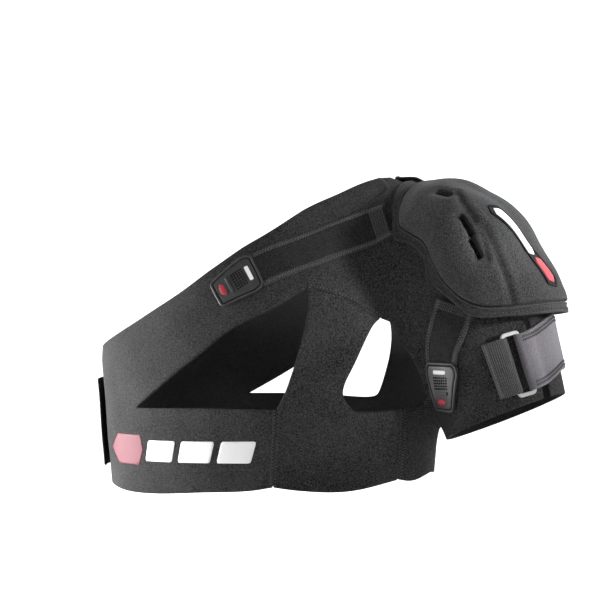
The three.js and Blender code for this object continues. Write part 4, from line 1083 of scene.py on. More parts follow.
# Shoulder cap: base with its sewn flange, foam pad, vents; places are mm on the cap's chart
capFlange = [
    (-91, 0), (-91, 34), (-86, 60), (-79, 82), (-70, 88), (-47, 94), (-25, 103),
    (1, 117), (25, 117.5), (60, 102), (83, 82), (90, 56), (93, 30), (94, 0),
]
capPad = [
    (-85, 0), (-86, 34), (-82.5, 60), (-74, 75), (-54, 85), (-32, 92),
    (-5, 104.5), (25, 109), (58, 97.5), (78, 79), (86, 56), (89, 30), (90, 0),
]
ventLines = [((-46, 43), (-34.5, 44.5)), ((-10.5, 58.5), (7.5, 63.8)), ((12.5, 67), (29.5, 68.3))]
vent = {"width": 3.6, "padWidth": 5.2, "depth": 2.6, "half": 4.2}
flangeGrow, padShrink = 1.0, 2.2
capShape = {
    "flareStart": 34, "flareRun": 60, "flare": 16.5, "rest": 0.4, "padRest": 0.5,
    "edge": 2.2, "crown": 9.5, "shoulderRun": 26, "thinning": 0.45, "thinFrom": 40, "thinTo": 80,
}
# the pad is lower in a valley: where it starts and ends across and along, and how deep it is there
valley = {
    "depth": 1.1, "front": (-45, -12), "back": (35, 62), "backShare": 0.5,
    "inner": (-55, -20), "outer": (28, 74), "least": 0.4,
}
# stitched channels across the pad, and the lips that the cover makes beside them and at the pad's seam
channels = [
    {"rows": [(-30, 40), (-18, 49.5), (0, 54.5), (18, 59.5), (36, 64)], "depth": 2.4, "half": 2.8},
    {"rows": [(10, 53), (24, 55.5), (41, 57), (66, 55.5), (86, 53.5)], "depth": 2.3, "half": 2.6},
]
channelLip = {"height": 0.55, "away": 6, "half": 3}
seamLip = {"height": 0.5, "away": 5, "half": 4}
padWaves = ((0.25, 40, 4), (0.1, 13, 5))


def capOutline(table):
    return joined(smoothCurve([*table, *[(u, -v) for u, v in table[-2:0:-1]], table[0]], 2.5))


# The base follows the arm and then flares out; the flare is a weighted mean, so it starts softly
def capLift(uv, points=None):
    flare = 0
    for offset, weight in ((-9, 1), (-4.5, 2), (0, 3), (4.5, 2), (9, 1)):
        share = np.clip((uv[:, 0] + offset - capShape["flareStart"]) / capShape["flareRun"], 0, 1)
        flare = flare + weight / 9 * share**1.5 * (1.4 - 0.4 * share)
    return layer + capShape["rest"] + capShape["flare"] * flare


def slotOutline(line, width):
    start, end = (np.array(p, float) for p in line)
    along = unit(end - start)
    side = np.array([-along[1], along[0]])
    points = []
    for middle, way in ((end, 1), (start, -1)):
        for k in range(9):
            angle = -math.pi / 2 + k * math.pi / 8
            points.append(middle + way * width / 2 * (along * math.cos(angle) + side * math.sin(angle)))
    return np.array(points)


flangeOutline, padOutline = inset(capOutline(capFlange), -flangeGrow), inset(capOutline(capPad), padShrink)
padTree = treeOf(denseLoop(padOutline, 0.7))
for channel in channels:
    channel["tree"] = treeOf(smoothCurve(channel["rows"], 0.7))


def padWall(uv, points=None):
    u, v = uv[:, 0], uv[:, 1]
    fromEdge = np.clip(gapTo(padTree, uv) / capShape["shoulderRun"], 0, 1)
    across = smoothStep(-v, *valley["front"]) * (1 - valley["backShare"] * smoothStep(-v, *valley["back"]))
    along = smoothStep(u, *valley["inner"]) * (1 - smoothStep(u, *valley["outer"]))
    along = valley["least"] + (1 - valley["least"]) * along
    crown = capShape["crown"] * np.sin(fromEdge * math.pi / 2) * (1 - valley["depth"] * across * along)
    thinned = capShape["thinning"] * smoothStep(u, capShape["thinFrom"], capShape["thinTo"])
    return capShape["edge"] + crown * (1 - thinned)


def lipAt(away, lip):
    return lip["height"] * bump(away, lip["away"], lip["half"])


def padRelief(uv, points):
    height = sum(height * swell(points, size, seed) for height, size, seed in padWaves)
    for line in ventLines:
        away = np.maximum(alongAndAway(uv, *line)[1] - vent["width"] / 2, 0)
        height -= vent["depth"] * bump(away, 0, vent["half"])
    for channel in channels:
        away = gapTo(channel["tree"], uv)
        height -= channel["depth"] * bump(away, 0, channel["half"])
        height += lipAt(away, channelLip)
    return height + lipAt(gapTo(padTree, uv), seamLip)


def padUnderside(uv, points=None):
    return capLift(uv) + wall["capBase"] + capShape["padRest"]


capBase = makeSheet("capBase", onCap, flangeOutline, finishes["pad"], {
    "lift": capLift, "wall": wall["capBase"], "edge": 0.9,
    "holes": [slotOutline(line, vent["width"]) for line in ventLines],
    "relief": lambda uv, points: 0.2 * swell(points, 18, 6),
})
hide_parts("cap_base")
pad = makeSheet("shoulderPad", onCap, padOutline, finishes["pad"], {
    "lift": padUnderside, "wall": padWall, "spacing": 1.7, "margin": 0, "edge": 0.9,
    "holes": [slotOutline(line, vent["padWidth"]) for line in ventLines],
    "relief": padRelief, "lowerRelief": 0,
})
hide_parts("shoulder_pad")
print("cap made:", len(pad.data.polygons), "faces on the pad")


# Ribbon chart: u along a path on the skin, v across it
def ribbonChart(path, zeroAt=0):
    curve = smoothCurve(path, 0.5)
    run = runOf(curve)
    tangents = unit(np.gradient(curve, axis=0))

    def place(uv):
        along = uv[:, 0] + zeroAt
        held = np.clip(along, 0, run[-1])
        tangent = unit(readAlong(held, run, tangents))
        points, normals = skinNear(readAlong(held, run, curve) + tangent * (along - held)[:, None])
        side = unit(np.cross(normals, tangent))
        return skinNear(points + side * uv[:, 1:2])

    return place, run[-1]


# Stitches, as rows of (s, t) from and to along a track
def runRow(length, t, stitch=2.2, gap=0.7):
    s = np.arange(1.0, length - stitch, stitch + gap)
    return np.stack([s, np.full(len(s), t), s + stitch, np.full(len(s), t)], axis=1)


def zigzagRow(length, low, high, pitch, start=1.0):
    s = np.arange(start, length - pitch, pitch)
    even = np.arange(len(s)) % 2 == 0
    return np.stack([s, np.where(even, low, high), s + pitch, np.where(even, high, low)], axis=1)


# Crossing stitches over a field from (s, t) to (s, t)
def crossPatch(sFrom, sTo, tFrom, tTo, sCount, tCount):
    sStep, tStep = (sTo - sFrom) / sCount, (tTo - tFrom) / tCount
    s, t = np.meshgrid(sFrom + sStep * np.arange(sCount), tFrom + tStep * np.arange(tCount))
    s, t = s.ravel(), t.ravel()
    rising = np.stack([s, t, s + sStep * 0.9, t + tStep * 0.9], axis=1)
    falling = np.stack([s, t + tStep * 0.9, s + sStep * 0.9, t], axis=1)
    return np.vstack([rising, falling])


# Panel seams: two rows of stitches with a thread crossing over between them
seamSewing = {"rowAt": 2.7, "crossTo": 2.5, "pitch": 1.45}
trunkSeams = ("seamA", "seamB", "seam1", "seam2", "sideBack", "shoulderBack")
seams = {name: (onTrunk, edge(name)) for name in trunkSeams}
seams.update({
    "armholeFront": (onGirdle, frontRim),
    "armholeUnder": (onTrunk, edge("underArm")),
    "armholeBackLow": (onTrunk, edge("backArm")),
    "armholeBack": (onGirdle, backRim),
})
for name, (chart, curve) in seams.items():
    track = trackOf(chart, evenLine(curve, 0.8) if len(curve) < 60 else curve)

    def onSeam(s, t):
        points, normals = onTrack(track, s, t)
        return points + normals * (wall["panel"] + panelRelief(None, points))[:, None], normals

    rowAt, crossTo = seamSewing["rowAt"], seamSewing["crossTo"]
    rows = [runRow(track["length"], -rowAt), runRow(track["length"], rowAt)]
    rows.append(zigzagRow(track["length"], -crossTo, crossTo, seamSewing["pitch"]))
    sewRows(name + "Stitches", np.vstack(rows), onSeam, "seam")


# Straps from the cap to the chest, to the armpit and to the back, each with a moulded tab.
# Their paths are places on the skin; the sewn strap starts behind the tab.
strapPlan = {
    "front": {
        "path": [
            (-140.1, -127.4, -105.3), (-106.4, -113.4, -82.1), (-72.9, -92.5, -66.4),
            (-41.5, -68.3, -50.8), (-1, -50, -34),
        ],
        "rest": 0, "rise": 0, "marks": True, "patch": (17, 3),
    },
    "lower": {
        "path": [(58.5, -48.5, -207), (55.6, -54, -170), (56, -57, -153), (64, -62, -129), (71, -63.4, -110)],
        "rest": 1, "rise": 0, "marks": True, "patch": (9, 1),
    },
    "rear": {
        "path": [(-140, 94, -98), (-106, 84, -75), (-72, 68, -52), (-42, 48, -26), (-14, 22, -3)],
        "rest": 0, "rise": 9, "marks": False, "patch": None,
    },
}
sewnStrap = {
    "half": 18.5, "from": 46, "tucked": 2.5, "border": 4.6, "borderStep": 0.8, "wall": wall["strap"] - 0.3,
    "raised": 0.45, "groove": 0.3, "arch": 0.25, "waves": 0.3, "panelShare": 0.6,
}
climbing = {"run": 45, "across": (-22, 4)}  # where the rear strap rises to the cap


def strapRelief(uv, points):
    half, border = sewnStrap["half"], sewnStrap["border"]
    fromEdge = half - np.abs(uv[:, 1])
    raised = sewnStrap["raised"] * (1 - smoothStep(fromEdge, border - sewnStrap["borderStep"], border))
    groove = sewnStrap["groove"] * bump(fromEdge, border + 0.5, 0.8)
    arch = sewnStrap["arch"] * np.cos(uv[:, 1] / half * math.pi / 2)
    waves = sewnStrap["waves"] * swell(points, 26, 7)
    return raised - groove + arch + waves + sewnStrap["panelShare"] * panelRelief(None, points)


def paintBorder(piece, finish, half, width):
    piece.data.materials.append(finish)
    coords = np.empty(len(piece.data.loops) * 2, np.float32)
    piece.data.uv_layers["cloth"].data.foreach_get("uv", coords)
    v = coords.reshape(-1, 2)[:, 1] / mm
    for polygon in piece.data.polygons:
        middle = v[polygon.loop_start:polygon.loop_start + polygon.loop_total].mean()
        polygon.material_index = int(abs(middle) > half - width)


# A flat piece made at the origin is laid on a chart: x along, y across, z up from the layer below
def layOn(piece, chart, liftAt):
    mesh = piece.data
    flatCoords = np.empty(len(mesh.vertices) * 3)
    mesh.vertices.foreach_get("co", flatCoords)
    flatCoords = flatCoords.reshape(-1, 3) / mm
    points, normals = chart(flatCoords[:, :2])
    laid = points + normals * (liftAt(flatCoords[:, :2], points) + flatCoords[:, 2])[:, None]
    mesh.vertices.foreach_set("co", (laid * mm).ravel())
    mesh.update()


def selectFaces(piece, test):
    mesh = bmesh.from_edit_mesh(piece.data)
    for part in (*mesh.faces, *mesh.edges, *mesh.verts):
        part.select = False
    for face in mesh.faces:
        if test(face):
            face.select_set(True)
    bmesh.update_edit_mesh(piece.data)


def cutAcross(axis, places):
    for place in places:
        bpy.ops.mesh.select_all(action="SELECT")
        middle, normal = [0.0, 0.0, 0.0], [0.0, 0.0, 0.0]
        middle[axis], normal[axis] = place * mm, 1.0
        bpy.ops.mesh.bisect(plane_co=middle, plane_no=normal)


# A box trimmed to a convex outline given in mm, from z = 0 up
def trimmedBox(name, outline, height):
    outline = np.array(outline, float)
    low, high = outline.min(axis=0), outline.max(axis=0)
    bpy.ops.object.select_all(action="DESELECT")
    bpy.ops.mesh.primitive_cube_add(
        size=1, location=((low[0] + high[0]) / 2 * mm, (low[1] + high[1]) / 2 * mm, height / 2 * mm),
        scale=((high[0] - low[0]) * mm, (high[1] - low[1]) * mm, height * mm),
    )
    piece = bpy.context.object
    piece.name = name
    bpy.ops.object.transform_apply(location=True, scale=True)
    bpy.ops.object.mode_set(mode="EDIT")
    way = np.sign(loopArea(outline))
    for a, b in zip(outline, np.roll(outline, -1, axis=0)):
        away = unit(np.array([b[1] - a[1], a[0] - b[0]])) * way
        if np.abs(away).max() > 0.999:  # a side of the box itself
            continue
        bpy.ops.mesh.select_all(action="SELECT")
        bpy.ops.mesh.bisect(
            plane_co=(a[0] * mm, a[1] * mm, 0), plane_no=(away[0], away[1], 0),
            use_fill=True, clear_outer=True,
        )
    return piece


def roundCorners(piece, radius, segments):
    mesh = bmesh.from_edit_mesh(piece.data)
    for edge in mesh.edges:
        a, b = edge.verts
        edge.select = abs(a.co.z - b.co.z) > 1e-4 and math.hypot(a.co.x - b.co.x, a.co.y - b.co.y) < 1e-5
    bmesh.update_edit_mesh(piece.data)
    bpy.ops.mesh.bevel(offset=radius * mm, segments=segments, affect="EDGES", clamp_overlap=True)


def selectTop(piece, height):
    least = (height - 0.05) * mm
    selectFaces(piece, lambda face: face.normal.z > 0.9 and face.calc_center_median().z > least)


def softenEdges(piece, width, segments, angle):
    modifier = piece.modifiers.new("soft", "BEVEL")
    modifier.width = width * mm
    modifier.segments = segments
    modifier.limit_method = "ANGLE"
    modifier.angle_limit = math.radians(angle)
    bpy.ops.object.select_all(action="DESELECT")
    piece.select_set(True)
    bpy.context.view_layer.objects.active = piece
    bpy.ops.object.modifier_apply(modifier=modifier.name)


def stepInwards(width, down=0):
    bpy.ops.mesh.inset(thickness=width * mm)
    if down:
        bpy.ops.transform.translate(value=(0, 0, -down * mm))


def dressPiece(piece, finish, node=None):
    piece.data.materials.clear()
    piece.data.materials.append(finish)
    piece.data.polygons.foreach_set("use_smooth", [True] * len(piece.data.polygons))
    piece.data.update()
    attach(piece, "root")
    if node:
        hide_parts(node)


# Moulded tabs: half widths along the tab, and the sizes of its rim and dish in mm
tabHalf = [(0, 11.5), (2.5, 14.5), (34, 20.3), (41, 19), (45, 15)]
tabOutline = [(u, -v) for u, v in tabHalf] + [(u, v) for u, v in reversed(tabHalf)]
tabPlan = {
    "rim": 1.6, "rimWall": 0.35, "rimDrop": 0.9, "groove": 0.9, "dishWall": 0.5, "dishDrop": 0.45,
    "corner": 1.6, "cutStep": 2.5, "sunk": 0.3,
}
# Marks on a tab: outline, height, corner radius, where it is cut across, width and steps of its soft edge
tabMarks = {
    "Bar": {
        "outline": [(34.6, -7.8), (38.2, -7.8), (38.2, 7.8), (34.6, 7.8)], "height": 0.9, "corner": 1.0,
        "cuts": (-6, 6.5), "soft": (0.25, 2), "finish": "white", "slot": "pale_trim", "node": "_tab_bar",
    },
    "Dot": {
        "outline": [(6.2, -3), (8.9, -6.8), (11.6, -3), (11.6, 3), (8.9, 6.8), (6.2, 3)], "height": 1.0,
        "corner": 0.8, "cuts": (-4, 4.5), "soft": (0.3, 2), "finish": "red", "slot": "red_trim",
        "node": "_tab_dot",
    },
    "Ridge": {
        "outline": [(15, -8.6), (18.4, -9.4), (18.4, 9.4), (15, 8.6)], "height": 1.5, "corner": 0.9,
        "cuts": (-8, 8.5), "soft": (0.45, 3), "finish": "rubber", "slot": "rubber", "node": None,
    },
}
gripDots = {"from": (21.2, -8.1), "step": (2.5, 2.7), "count": (5, 7), "sunk": 0.1, "sides": 8}
gripRings = ((0.85, 0.0), (0.85, 0.55), (0.5, 0.85))  # radius and height of a dot, from its foot up


def makeGripDots(name):
    verts, faces, sides = [], [], gripDots["sides"]
    for i in range(gripDots["count"][0]):
        for j in range(gripDots["count"][1]):
            u, v = (at + step * k for at, step, k in zip(gripDots["from"], gripDots["step"], (i, j)))
            start = len(verts)
            for radius, height in gripRings:
                for k in range(sides):
                    turn = k * 2 * math.pi / sides
                    place = (u + radius * math.cos(turn), v + radius * math.sin(turn))
                    verts.append((*place, height - gripDots["sunk"]))
            faces.append([start + sides - 1 - k for k in range(sides)])
            faces.append([start + 2 * sides + k for k in range(sides)])
            for row in (0, sides):
                for k in range(sides):
                    a, b = start + row + k, start + row + (k + 1) % sides
                    faces.append([a, b, b + sides, a + sides])
    dots = meshObject(name + "TabGrip", verts, faces, finishes["badge"])
    return dots


def makeTab(name, chart, liftAt, marks):
    tall = wall["tab"]
    tab = trimmedBox(name + "Tab", tabOutline, tall)
    roundCorners(tab, tabPlan["corner"], 4)
    selectTop(tab, tall)
    stepInwards(tabPlan["rim"])
    stepInwards(tabPlan["rimWall"], tabPlan["rimDrop"])
    stepInwards(tabPlan["groove"])
    stepInwards(tabPlan["dishWall"], -tabPlan["dishDrop"])
    bpy.ops.object.mode_set(mode="OBJECT")
    softenEdges(tab, 0.35, 2, 30)
    bpy.ops.object.mode_set(mode="EDIT")
    cutAcross(0, np.arange(2, tabHalf[-1][0], tabPlan["cutStep"]))
    cutAcross(1, np.arange(-20, 20.5, tabPlan["cutStep"]))
    bpy.ops.object.mode_set(mode="OBJECT")
    dressPiece(tab, finishes["rubber"], name + "_tab")
    tab.data.materials.append(finishes["rim"])
    tab.data.materials.append(finishes["badge"])
    # Painted light: the rim's top faces get the lighter rim rubber as a painted highlight, and the groove's
    # floor gets the black badge rubber as painted shade
    for polygon in tab.data.polygons:
        height = polygon.center.z / mm
        if height > tall - tabPlan["rimDrop"] / 2:
            polygon.material_index = 1
        elif abs(height - tall + tabPlan["rimDrop"]) < 0.2:
            polygon.material_index = 2
    layOn(tab, chart, liftAt)
    if not marks:
        return
    top = tall - tabPlan["rimDrop"] + tabPlan["dishDrop"]
    for kind, mark in tabMarks.items():
        piece = trimmedBox(name + "Tab" + kind, mark["outline"], mark["height"])
        roundCorners(piece, mark["corner"], 3)
        cutAcross(1, np.arange(*mark["cuts"], 2))
        bpy.ops.object.mode_set(mode="OBJECT")
        softenEdges(piece, *mark["soft"], 40)
        dressPiece(piece, finishes[mark["finish"]], mark["node"] and name + mark["node"])
        layOn(piece, chart, lambda uv, points: liftAt(uv, points) + top - tabPlan["sunk"])
    layOn(makeGripDots(name), chart, lambda uv, points: liftAt(uv, points) + top)


def bandOutline(start, end, half):
    return straightOutline([(start, -half), (end, -half), (end, half), (start, half)], 1.5)


# Rows of stitches on a strap: two along each border, and a crossed patch at its end under the cap
def strapRows(length, patch):
    half, inner = sewnStrap["half"], sewnStrap["half"] - sewnStrap["border"]
    rows = []
    for way in (-1, 1):
        low, high = sorted((way * (inner + 0.5), way * (half - 0.9)))
        rows.append(zigzagRow(length - 1, low, high, 1.35))
        rows.append(runRow(length - 1, way * (inner + 0.3), 1.9, 0.6))
    if patch:
        start, end = length - patch[0], length - patch[1]
        rows.append(crossPatch(start, end, -17, 17, max(3, round((end - start) / 2.4)), 14))
    return np.vstack(rows)


for name, plan in strapPlan.items():
    chart, length = ribbonChart(plan["path"])

    def liftAt(uv, points):
        climbed = smoothStep(uv[:, 0], length - climbing["run"], length)
        climbed = climbed * smoothStep(uv[:, 1], *climbing["across"])
        return layer + plan["rest"] + plan["rise"] * climbed

    def onStrap(s, t):
        uv = np.stack([s + sewnStrap["from"], t], axis=1)
        points, normals = chart(uv)
        lift = liftAt(uv, points) + sewnStrap["wall"] + strapRelief(uv, points)
        return points + normals * lift[:, None], normals

    outline = bandOutline(sewnStrap["from"] - sewnStrap["tucked"], length, sewnStrap["half"])
    strap = makeSheet(name + "Strap", chart, outline, finishes["strap"], {
        "lift": liftAt, "wall": sewnStrap["wall"], "relief": strapRelief,
        "lowerRelief": lambda uv, points: sewnStrap["panelShare"] * panelRelief(None, points),
        "spacing": 1.5, "margin": 0, "edge": 0.7,
    })
    paintBorder(strap, finishes["border"], sewnStrap["half"], sewnStrap["border"])
    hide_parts(name + "_strap")
    makeTab(name, chart, liftAt, plan["marks"])
    rows = strapRows(length - sewnStrap["from"], plan["patch"])
    sewRows(name + "StrapStitches", rows, onStrap, "strap")
print("straps made")

# Badge in the valley of the pad: a rubber frame with two plain fields; places are mm on the cap's chart
badge = {
    "from": (-3, 37), "to": (80, 9.5), "half": 7.4, "tip": 6, "height": 1.5, "corner": 0.9, "rim": 1.6,
    "rimWall": 0.25, "drop": 0.8, "cutStep": 2.5, "sunk": 0.15, "splitShare": 0.6,
}
badgeField = {"half": 4.7, "tip": 4.5, "height": 1.0, "corner": 0.7, "lift": 0.45}
badgeStart = np.array(badge["from"], float)
badgeLength = float(np.linalg.norm(np.array(badge["to"], float) - badgeStart))
badgeAxis = unit(np.array(badge["to"], float) - badgeStart)
badgeSide = np.array([-badgeAxis[1], badgeAxis[0]])


def onCapFromBadge(uv):
    return badgeStart + uv[:, :1] * badgeAxis + uv[:, 1:2] * badgeSide


def onBadge(uv):
    return onCap(onCapFromBadge(uv))


def badgeLift(uv, points):
    place = onCapFromBadge(uv)
    return padUnderside(place) + padWall(place) + padRelief(place, points) - badge["sunk"]


def badgeShape(start, end, half, tip):
    lean = half * 0.2
    return [
        (start + tip, -half), (end - tip, -half), (end, -lean),
        (end - tip, half), (start + tip, half), (start, lean),
    ]


frameShape = badgeShape(0, badgeLength, badge["half"], badge["tip"])
badgeFrame = trimmedBox("badgeFrame", frameShape, badge["height"])
roundCorners(badgeFrame, badge["corner"], 3)
selectTop(badgeFrame, badge["height"])
stepInwards(badge["rim"])
stepInwards(badge["rimWall"], badge["drop"])
bpy.ops.object.mode_set(mode="OBJECT")
softenEdges(badgeFrame, 0.25, 2, 30)
bpy.ops.object.mode_set(mode="EDIT")
cutAcross(0, np.arange(2, badgeLength - 1, badge["cutStep"]))
cutAcross(1, (-3.5, 0, 3.5))
bpy.ops.object.mode_set(mode="OBJECT")
dressPiece(badgeFrame, finishes["badge"], "badge_frame")
layOn(badgeFrame, onBadge, badgeLift)
splitAt = badgeLength * badge["splitShare"]
fields = {
    "badgePale": (5.2, splitAt + 2, "white", "badge_pale", "pale_trim"),
    "badgeRed": (splitAt + 4, badgeLength - 4.2, "red", "badge_red", "red_trim"),
}
for name, (start, end, finish, node, slot) in fields.items():
    shape = badgeShape(start, end, badgeField["half"], badgeField["tip"])
    field = trimmedBox(name, shape, badgeField["height"])
    roundCorners(field, badgeField["corner"], 3)
    cutAcross(0, np.arange(start + 2, end - 1, badge["cutStep"]))
    cutAcross(1, (0,))
    bpy.ops.object.mode_set(mode="OBJECT")
    softenEdges(field, 0.25, 2, 40)
    dressPiece(field, finishes[finish], node)
    layOn(field, onBadge, lambda uv, points: badgeLift(uv, points) + badgeField["lift"])
print("badge made")

# Band round the upper arm: webbing and soft strap, folded through a rectangular ring
armBand = {
    "tilt": 20, "middle": (86.9, -7, -176.6), "front": 100, "back": -150, "step": 10, "ringTurn": 46,
    "half": 25.4, "bar": 3.5, "ringHalfWidth": 9, "play": 0.35, "flatBeside": 10.25, "flatEnd": 23.25,
    "ringCorner": 4, "ringSoft": 0.9,
}
# how a folded layer comes down from the ring: runs past the bar, and heights off its top and bottom
foldDrop = {"runs": (0, 5, 13, 18), "first": 0.8, "last": 0.4}
foldEdge = {"in": (0, 0.35, 0.9, 3), "share": (0.45, 0.75, 0.95, 1), "stations": 30}
webbingRib = {"height": 0.22, "pitch": 2.6, "crossHeight": 0.05, "crossPitch": 1.4}
sewnIn = (3.4, 6.4)  # rows of stitches, in mm from the soft strap's edge
strapClimb = {"height": 13, "from": 8, "to": 62}
foldEnds = {"webbing": (19, 22.5), "strap": (104, 122)}  # of the lower and the upper layer, from the ring
tilt = math.radians(armBand["tilt"])
turns = np.radians(np.arange(armBand["front"], armBand["back"] - 1, -armBand["step"]))
bandOrigin = np.tile(np.array(armBand["middle"], float), (len(turns), 1))
bandPath = skinFrom(bandOrigin, np.stack([
    math.cos(tilt) * np.cos(turns), -np.sin(turns), math.sin(tilt) * np.cos(turns),
], axis=1))[0]
before = round((armBand["front"] - armBand["ringTurn"]) / armBand["step"]) + 1
onArmBand = ribbonChart(bandPath, ribbonChart(bandPath[:before])[1])[0]
barAt = armBand["ringHalfWidth"] - armBand["bar"] / 2
ringMiddle = layer + wall["armStrap"] + armBand["play"] + armBand["bar"] / 2
spot, spotNormal = (rows[0] for rows in onArmBand(np.array([[0.0, 0.0]])))
ringAcross = unit(onArmBand(np.array([[0.0, 5.0]]))[0][0] - onArmBand(np.array([[0.0, -5.0]]))[0][0])
ringSide = unit(np.cross(ringAcross, spotNormal))
ringUp = unit(np.cross(ringSide, ringAcross))


def armSpot(s, across, level):
    s, across, level = np.broadcast_arrays(s, across, level)
    flatPlace = spot + ringSide * s[:, None] + ringAcross * across[:, None] + ringUp * level[:, None]
    points, normals = onArmBand(np.stack([s, across], axis=1))
    share = smoothStep(np.abs(s), armBand["flatBeside"], armBand["flatEnd"])[:, None]
    return flatPlace * (1 - share) + (points + normals * level[:, None]) * share


def dropLine(top, low):
    levels = [top, top - foldDrop["first"], low + foldDrop["last"], low]
    return barAt + np.array(foldDrop["runs"]), levels


# A fold as (run, level) from its lower end round the bar to its upper end, and the upper end's level
def foldPath(strapWall, way, underEnd, overEnd):
    turnRadius = armBand["bar"] / 2 + armBand["play"] + strapWall / 2
    under, top = ringMiddle - turnRadius, ringMiddle + turnRadius
    over = under + strapWall + armBand["play"]
    path = [(underEnd, under), (barAt, under)]
    for k in range(1, 12):
        angle = math.pi / 2 + k * math.pi / 12
        path.append((barAt + math.cos(angle) * turnRadius, ringMiddle - math.sin(angle) * turnRadius))
    runs, levels = dropLine(top, over)
    path += [(s, level) for s, level in zip(runs, levels) if s < overEnd]
    path.append((overEnd, over))
    return evenLine(np.array(path), 0.9) * [way, 1], over


def makeFold(name, path, strapWall, finish, reliefAt, riseAt=None):
    half = armBand["half"]
    count = len(path)
    tangent = unit(np.gradient(path, axis=0))
    run = runOf(path)
    near = np.array(foldEdge["in"][:3])
    middle = np.linspace(2 - half, half - 2, foldEdge["stations"])
    stations = np.concatenate([near - half, middle, half - near[::-1]])
    thin = np.interp(half - np.abs(stations), foldEdge["in"], foldEdge["share"])
    verts, uv = [], []
    for t, share in zip(stations, thin):
        across = np.full(count, t)
        for way, relief in ((1, reliefAt(run, across)), (-1, 0)):
            offset = strapWall / 2 * share + relief
            s = path[:, 0] - tangent[:, 1] * way * offset
            level = path[:, 1] + tangent[:, 0] * way * offset
            verts.append(armSpot(s, t + (riseAt(s) if riseAt else 0 * s), level))
            uv.append(np.stack([run, across], axis=1))
    # each station has an upper row of points and a lower one
    upper = lambda station, i: 2 * station * count + i
    lower = lambda station, i: (2 * station + 1) * count + i
    faces, last, end = [], len(stations) - 1, count - 1
    for k in range(last):
        for i in range(end):
            faces.append([upper(k, i), upper(k, i + 1), upper(k + 1, i + 1), upper(k + 1, i)])
            faces.append([lower(k, i), lower(k + 1, i), lower(k + 1, i + 1), lower(k, i + 1)])
        faces.append([upper(k, 0), upper(k + 1, 0), lower(k + 1, 0), lower(k, 0)])
        faces.append([upper(k, end), lower(k, end), lower(k + 1, end), upper(k + 1, end)])
    for i in range(end):
        faces.append([upper(0, i), lower(0, i), lower(0, i + 1), upper(0, i + 1)])
        faces.append([upper(last, i), upper(last, i + 1), lower(last, i + 1), lower(last, i)])
    piece = meshObject(name, np.vstack(verts), faces, finish, np.vstack(uv))
    faceOutward(piece)
    return piece


def webbingRibs(run, across):
    ribs = webbingRib["height"] * np.sin(run * 2 * math.pi / webbingRib["pitch"])
    return ribs + webbingRib["crossHeight"] * np.sin(across * 2 * math.pi / webbingRib["crossPitch"])


def softRelief(run, across):
    places = np.stack([run, across, np.zeros(len(run))], axis=1)
    grooves = sum(bump(np.abs(across), armBand["half"] - t, 1.5) for t in sewnIn)
    return 0.35 * swell(places, 22, 8) + 0.15 * swell(places, 8, 9) - 0.3 * grooves


# The soft strap climbs towards the outer side of the arm
def climb(s):
    return strapClimb["height"] * smoothStep(s, strapClimb["from"], strapClimb["to"])


webbingPath, webbingOver = foldPath(wall["webbing"], -1, *foldEnds["webbing"])
webbing = makeFold("armWebbing", webbingPath, wall["webbing"], finishes["webbing"], webbingRibs)
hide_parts("arm_webbing")
strapPath, strapOver = foldPath(wall["armStrap"], 1, *foldEnds["strap"])
armStrap = makeFold("armStrap", strapPath, wall["armStrap"], finishes["arm"], softRelief, climb)
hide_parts("arm_strap")


def sewOnBand(name, rows, levelAt, kind):
    def place(s, t):
        across = t + np.where(s > 0, climb(s), 0)
        spots = armSpot(s, across, levelAt(s))
        return spots, armSpot(s, across, levelAt(s) + 1) - spots

    sewRows(name, rows, place, kind)


# The stitches follow the strap as it drops from the ring's bar to the sleeve
def strapTop(s):
    top = 2 * ringMiddle - strapOver + wall["armStrap"] + armBand["play"]
    return np.interp(s, *dropLine(top, strapOver)) + wall["armStrap"] / 2 - 0.05


def webbingTop(s):
    return 0 * s + webbingOver + wall["webbing"] / 2 + 0.15


rows = []
for way in (-1, 1):
    for t in sewnIn:
        middle = way * (armBand["half"] - t)
        rows.append(zigzagRow(foldEnds["strap"][1] - 2, middle - 1.1, middle + 1.1, 1.4, barAt + 2))
rows.append(crossPatch(116, 121, -22, 22, 2, 16))  # closes the strap's end
sewOnBand("armStrapStitches", np.vstack(rows), strapTop, "arm")
rows = crossPatch(-21.8, -15.5, -24, 24, 3, 20)
sewOnBand("webbingStitches", rows, webbingTop, "webbing")

# Rectangular ring
ringHalfLength = armBand["half"] + armBand["play"] + armBand["bar"]
bpy.ops.object.select_all(action="DESELECT")
bpy.ops.mesh.primitive_cube_add(
    size=1, location=(0, 0, 0),
    scale=(2 * armBand["ringHalfWidth"] * mm, 2 * ringHalfLength * mm, armBand["bar"] * mm),
)
ring = bpy.context.object
ring.name = "armRing"
bpy.ops.object.transform_apply(scale=True)
bpy.ops.object.mode_set(mode="EDIT")
roundCorners(ring, armBand["ringCorner"], 5)
selectFaces(ring, lambda face: abs(face.normal.z) > 0.9)
bpy.ops.mesh.inset(thickness=armBand["bar"] * mm)
bpy.ops.mesh.bridge_edge_loops()
bpy.ops.object.mode_set(mode="OBJECT")
softenEdges(ring, armBand["ringSoft"], 3, 40)
frameOfRing = Matrix(np.stack([ringSide, ringAcross, ringUp], axis=1).tolist()).to_4x4()
frameOfRing.translation = Vector((spot + ringUp * ringMiddle) * mm)
ring.data.transform(frameOfRing)
dressPiece(ring, finishes["ring"], "arm_ring")
print("arm band made")


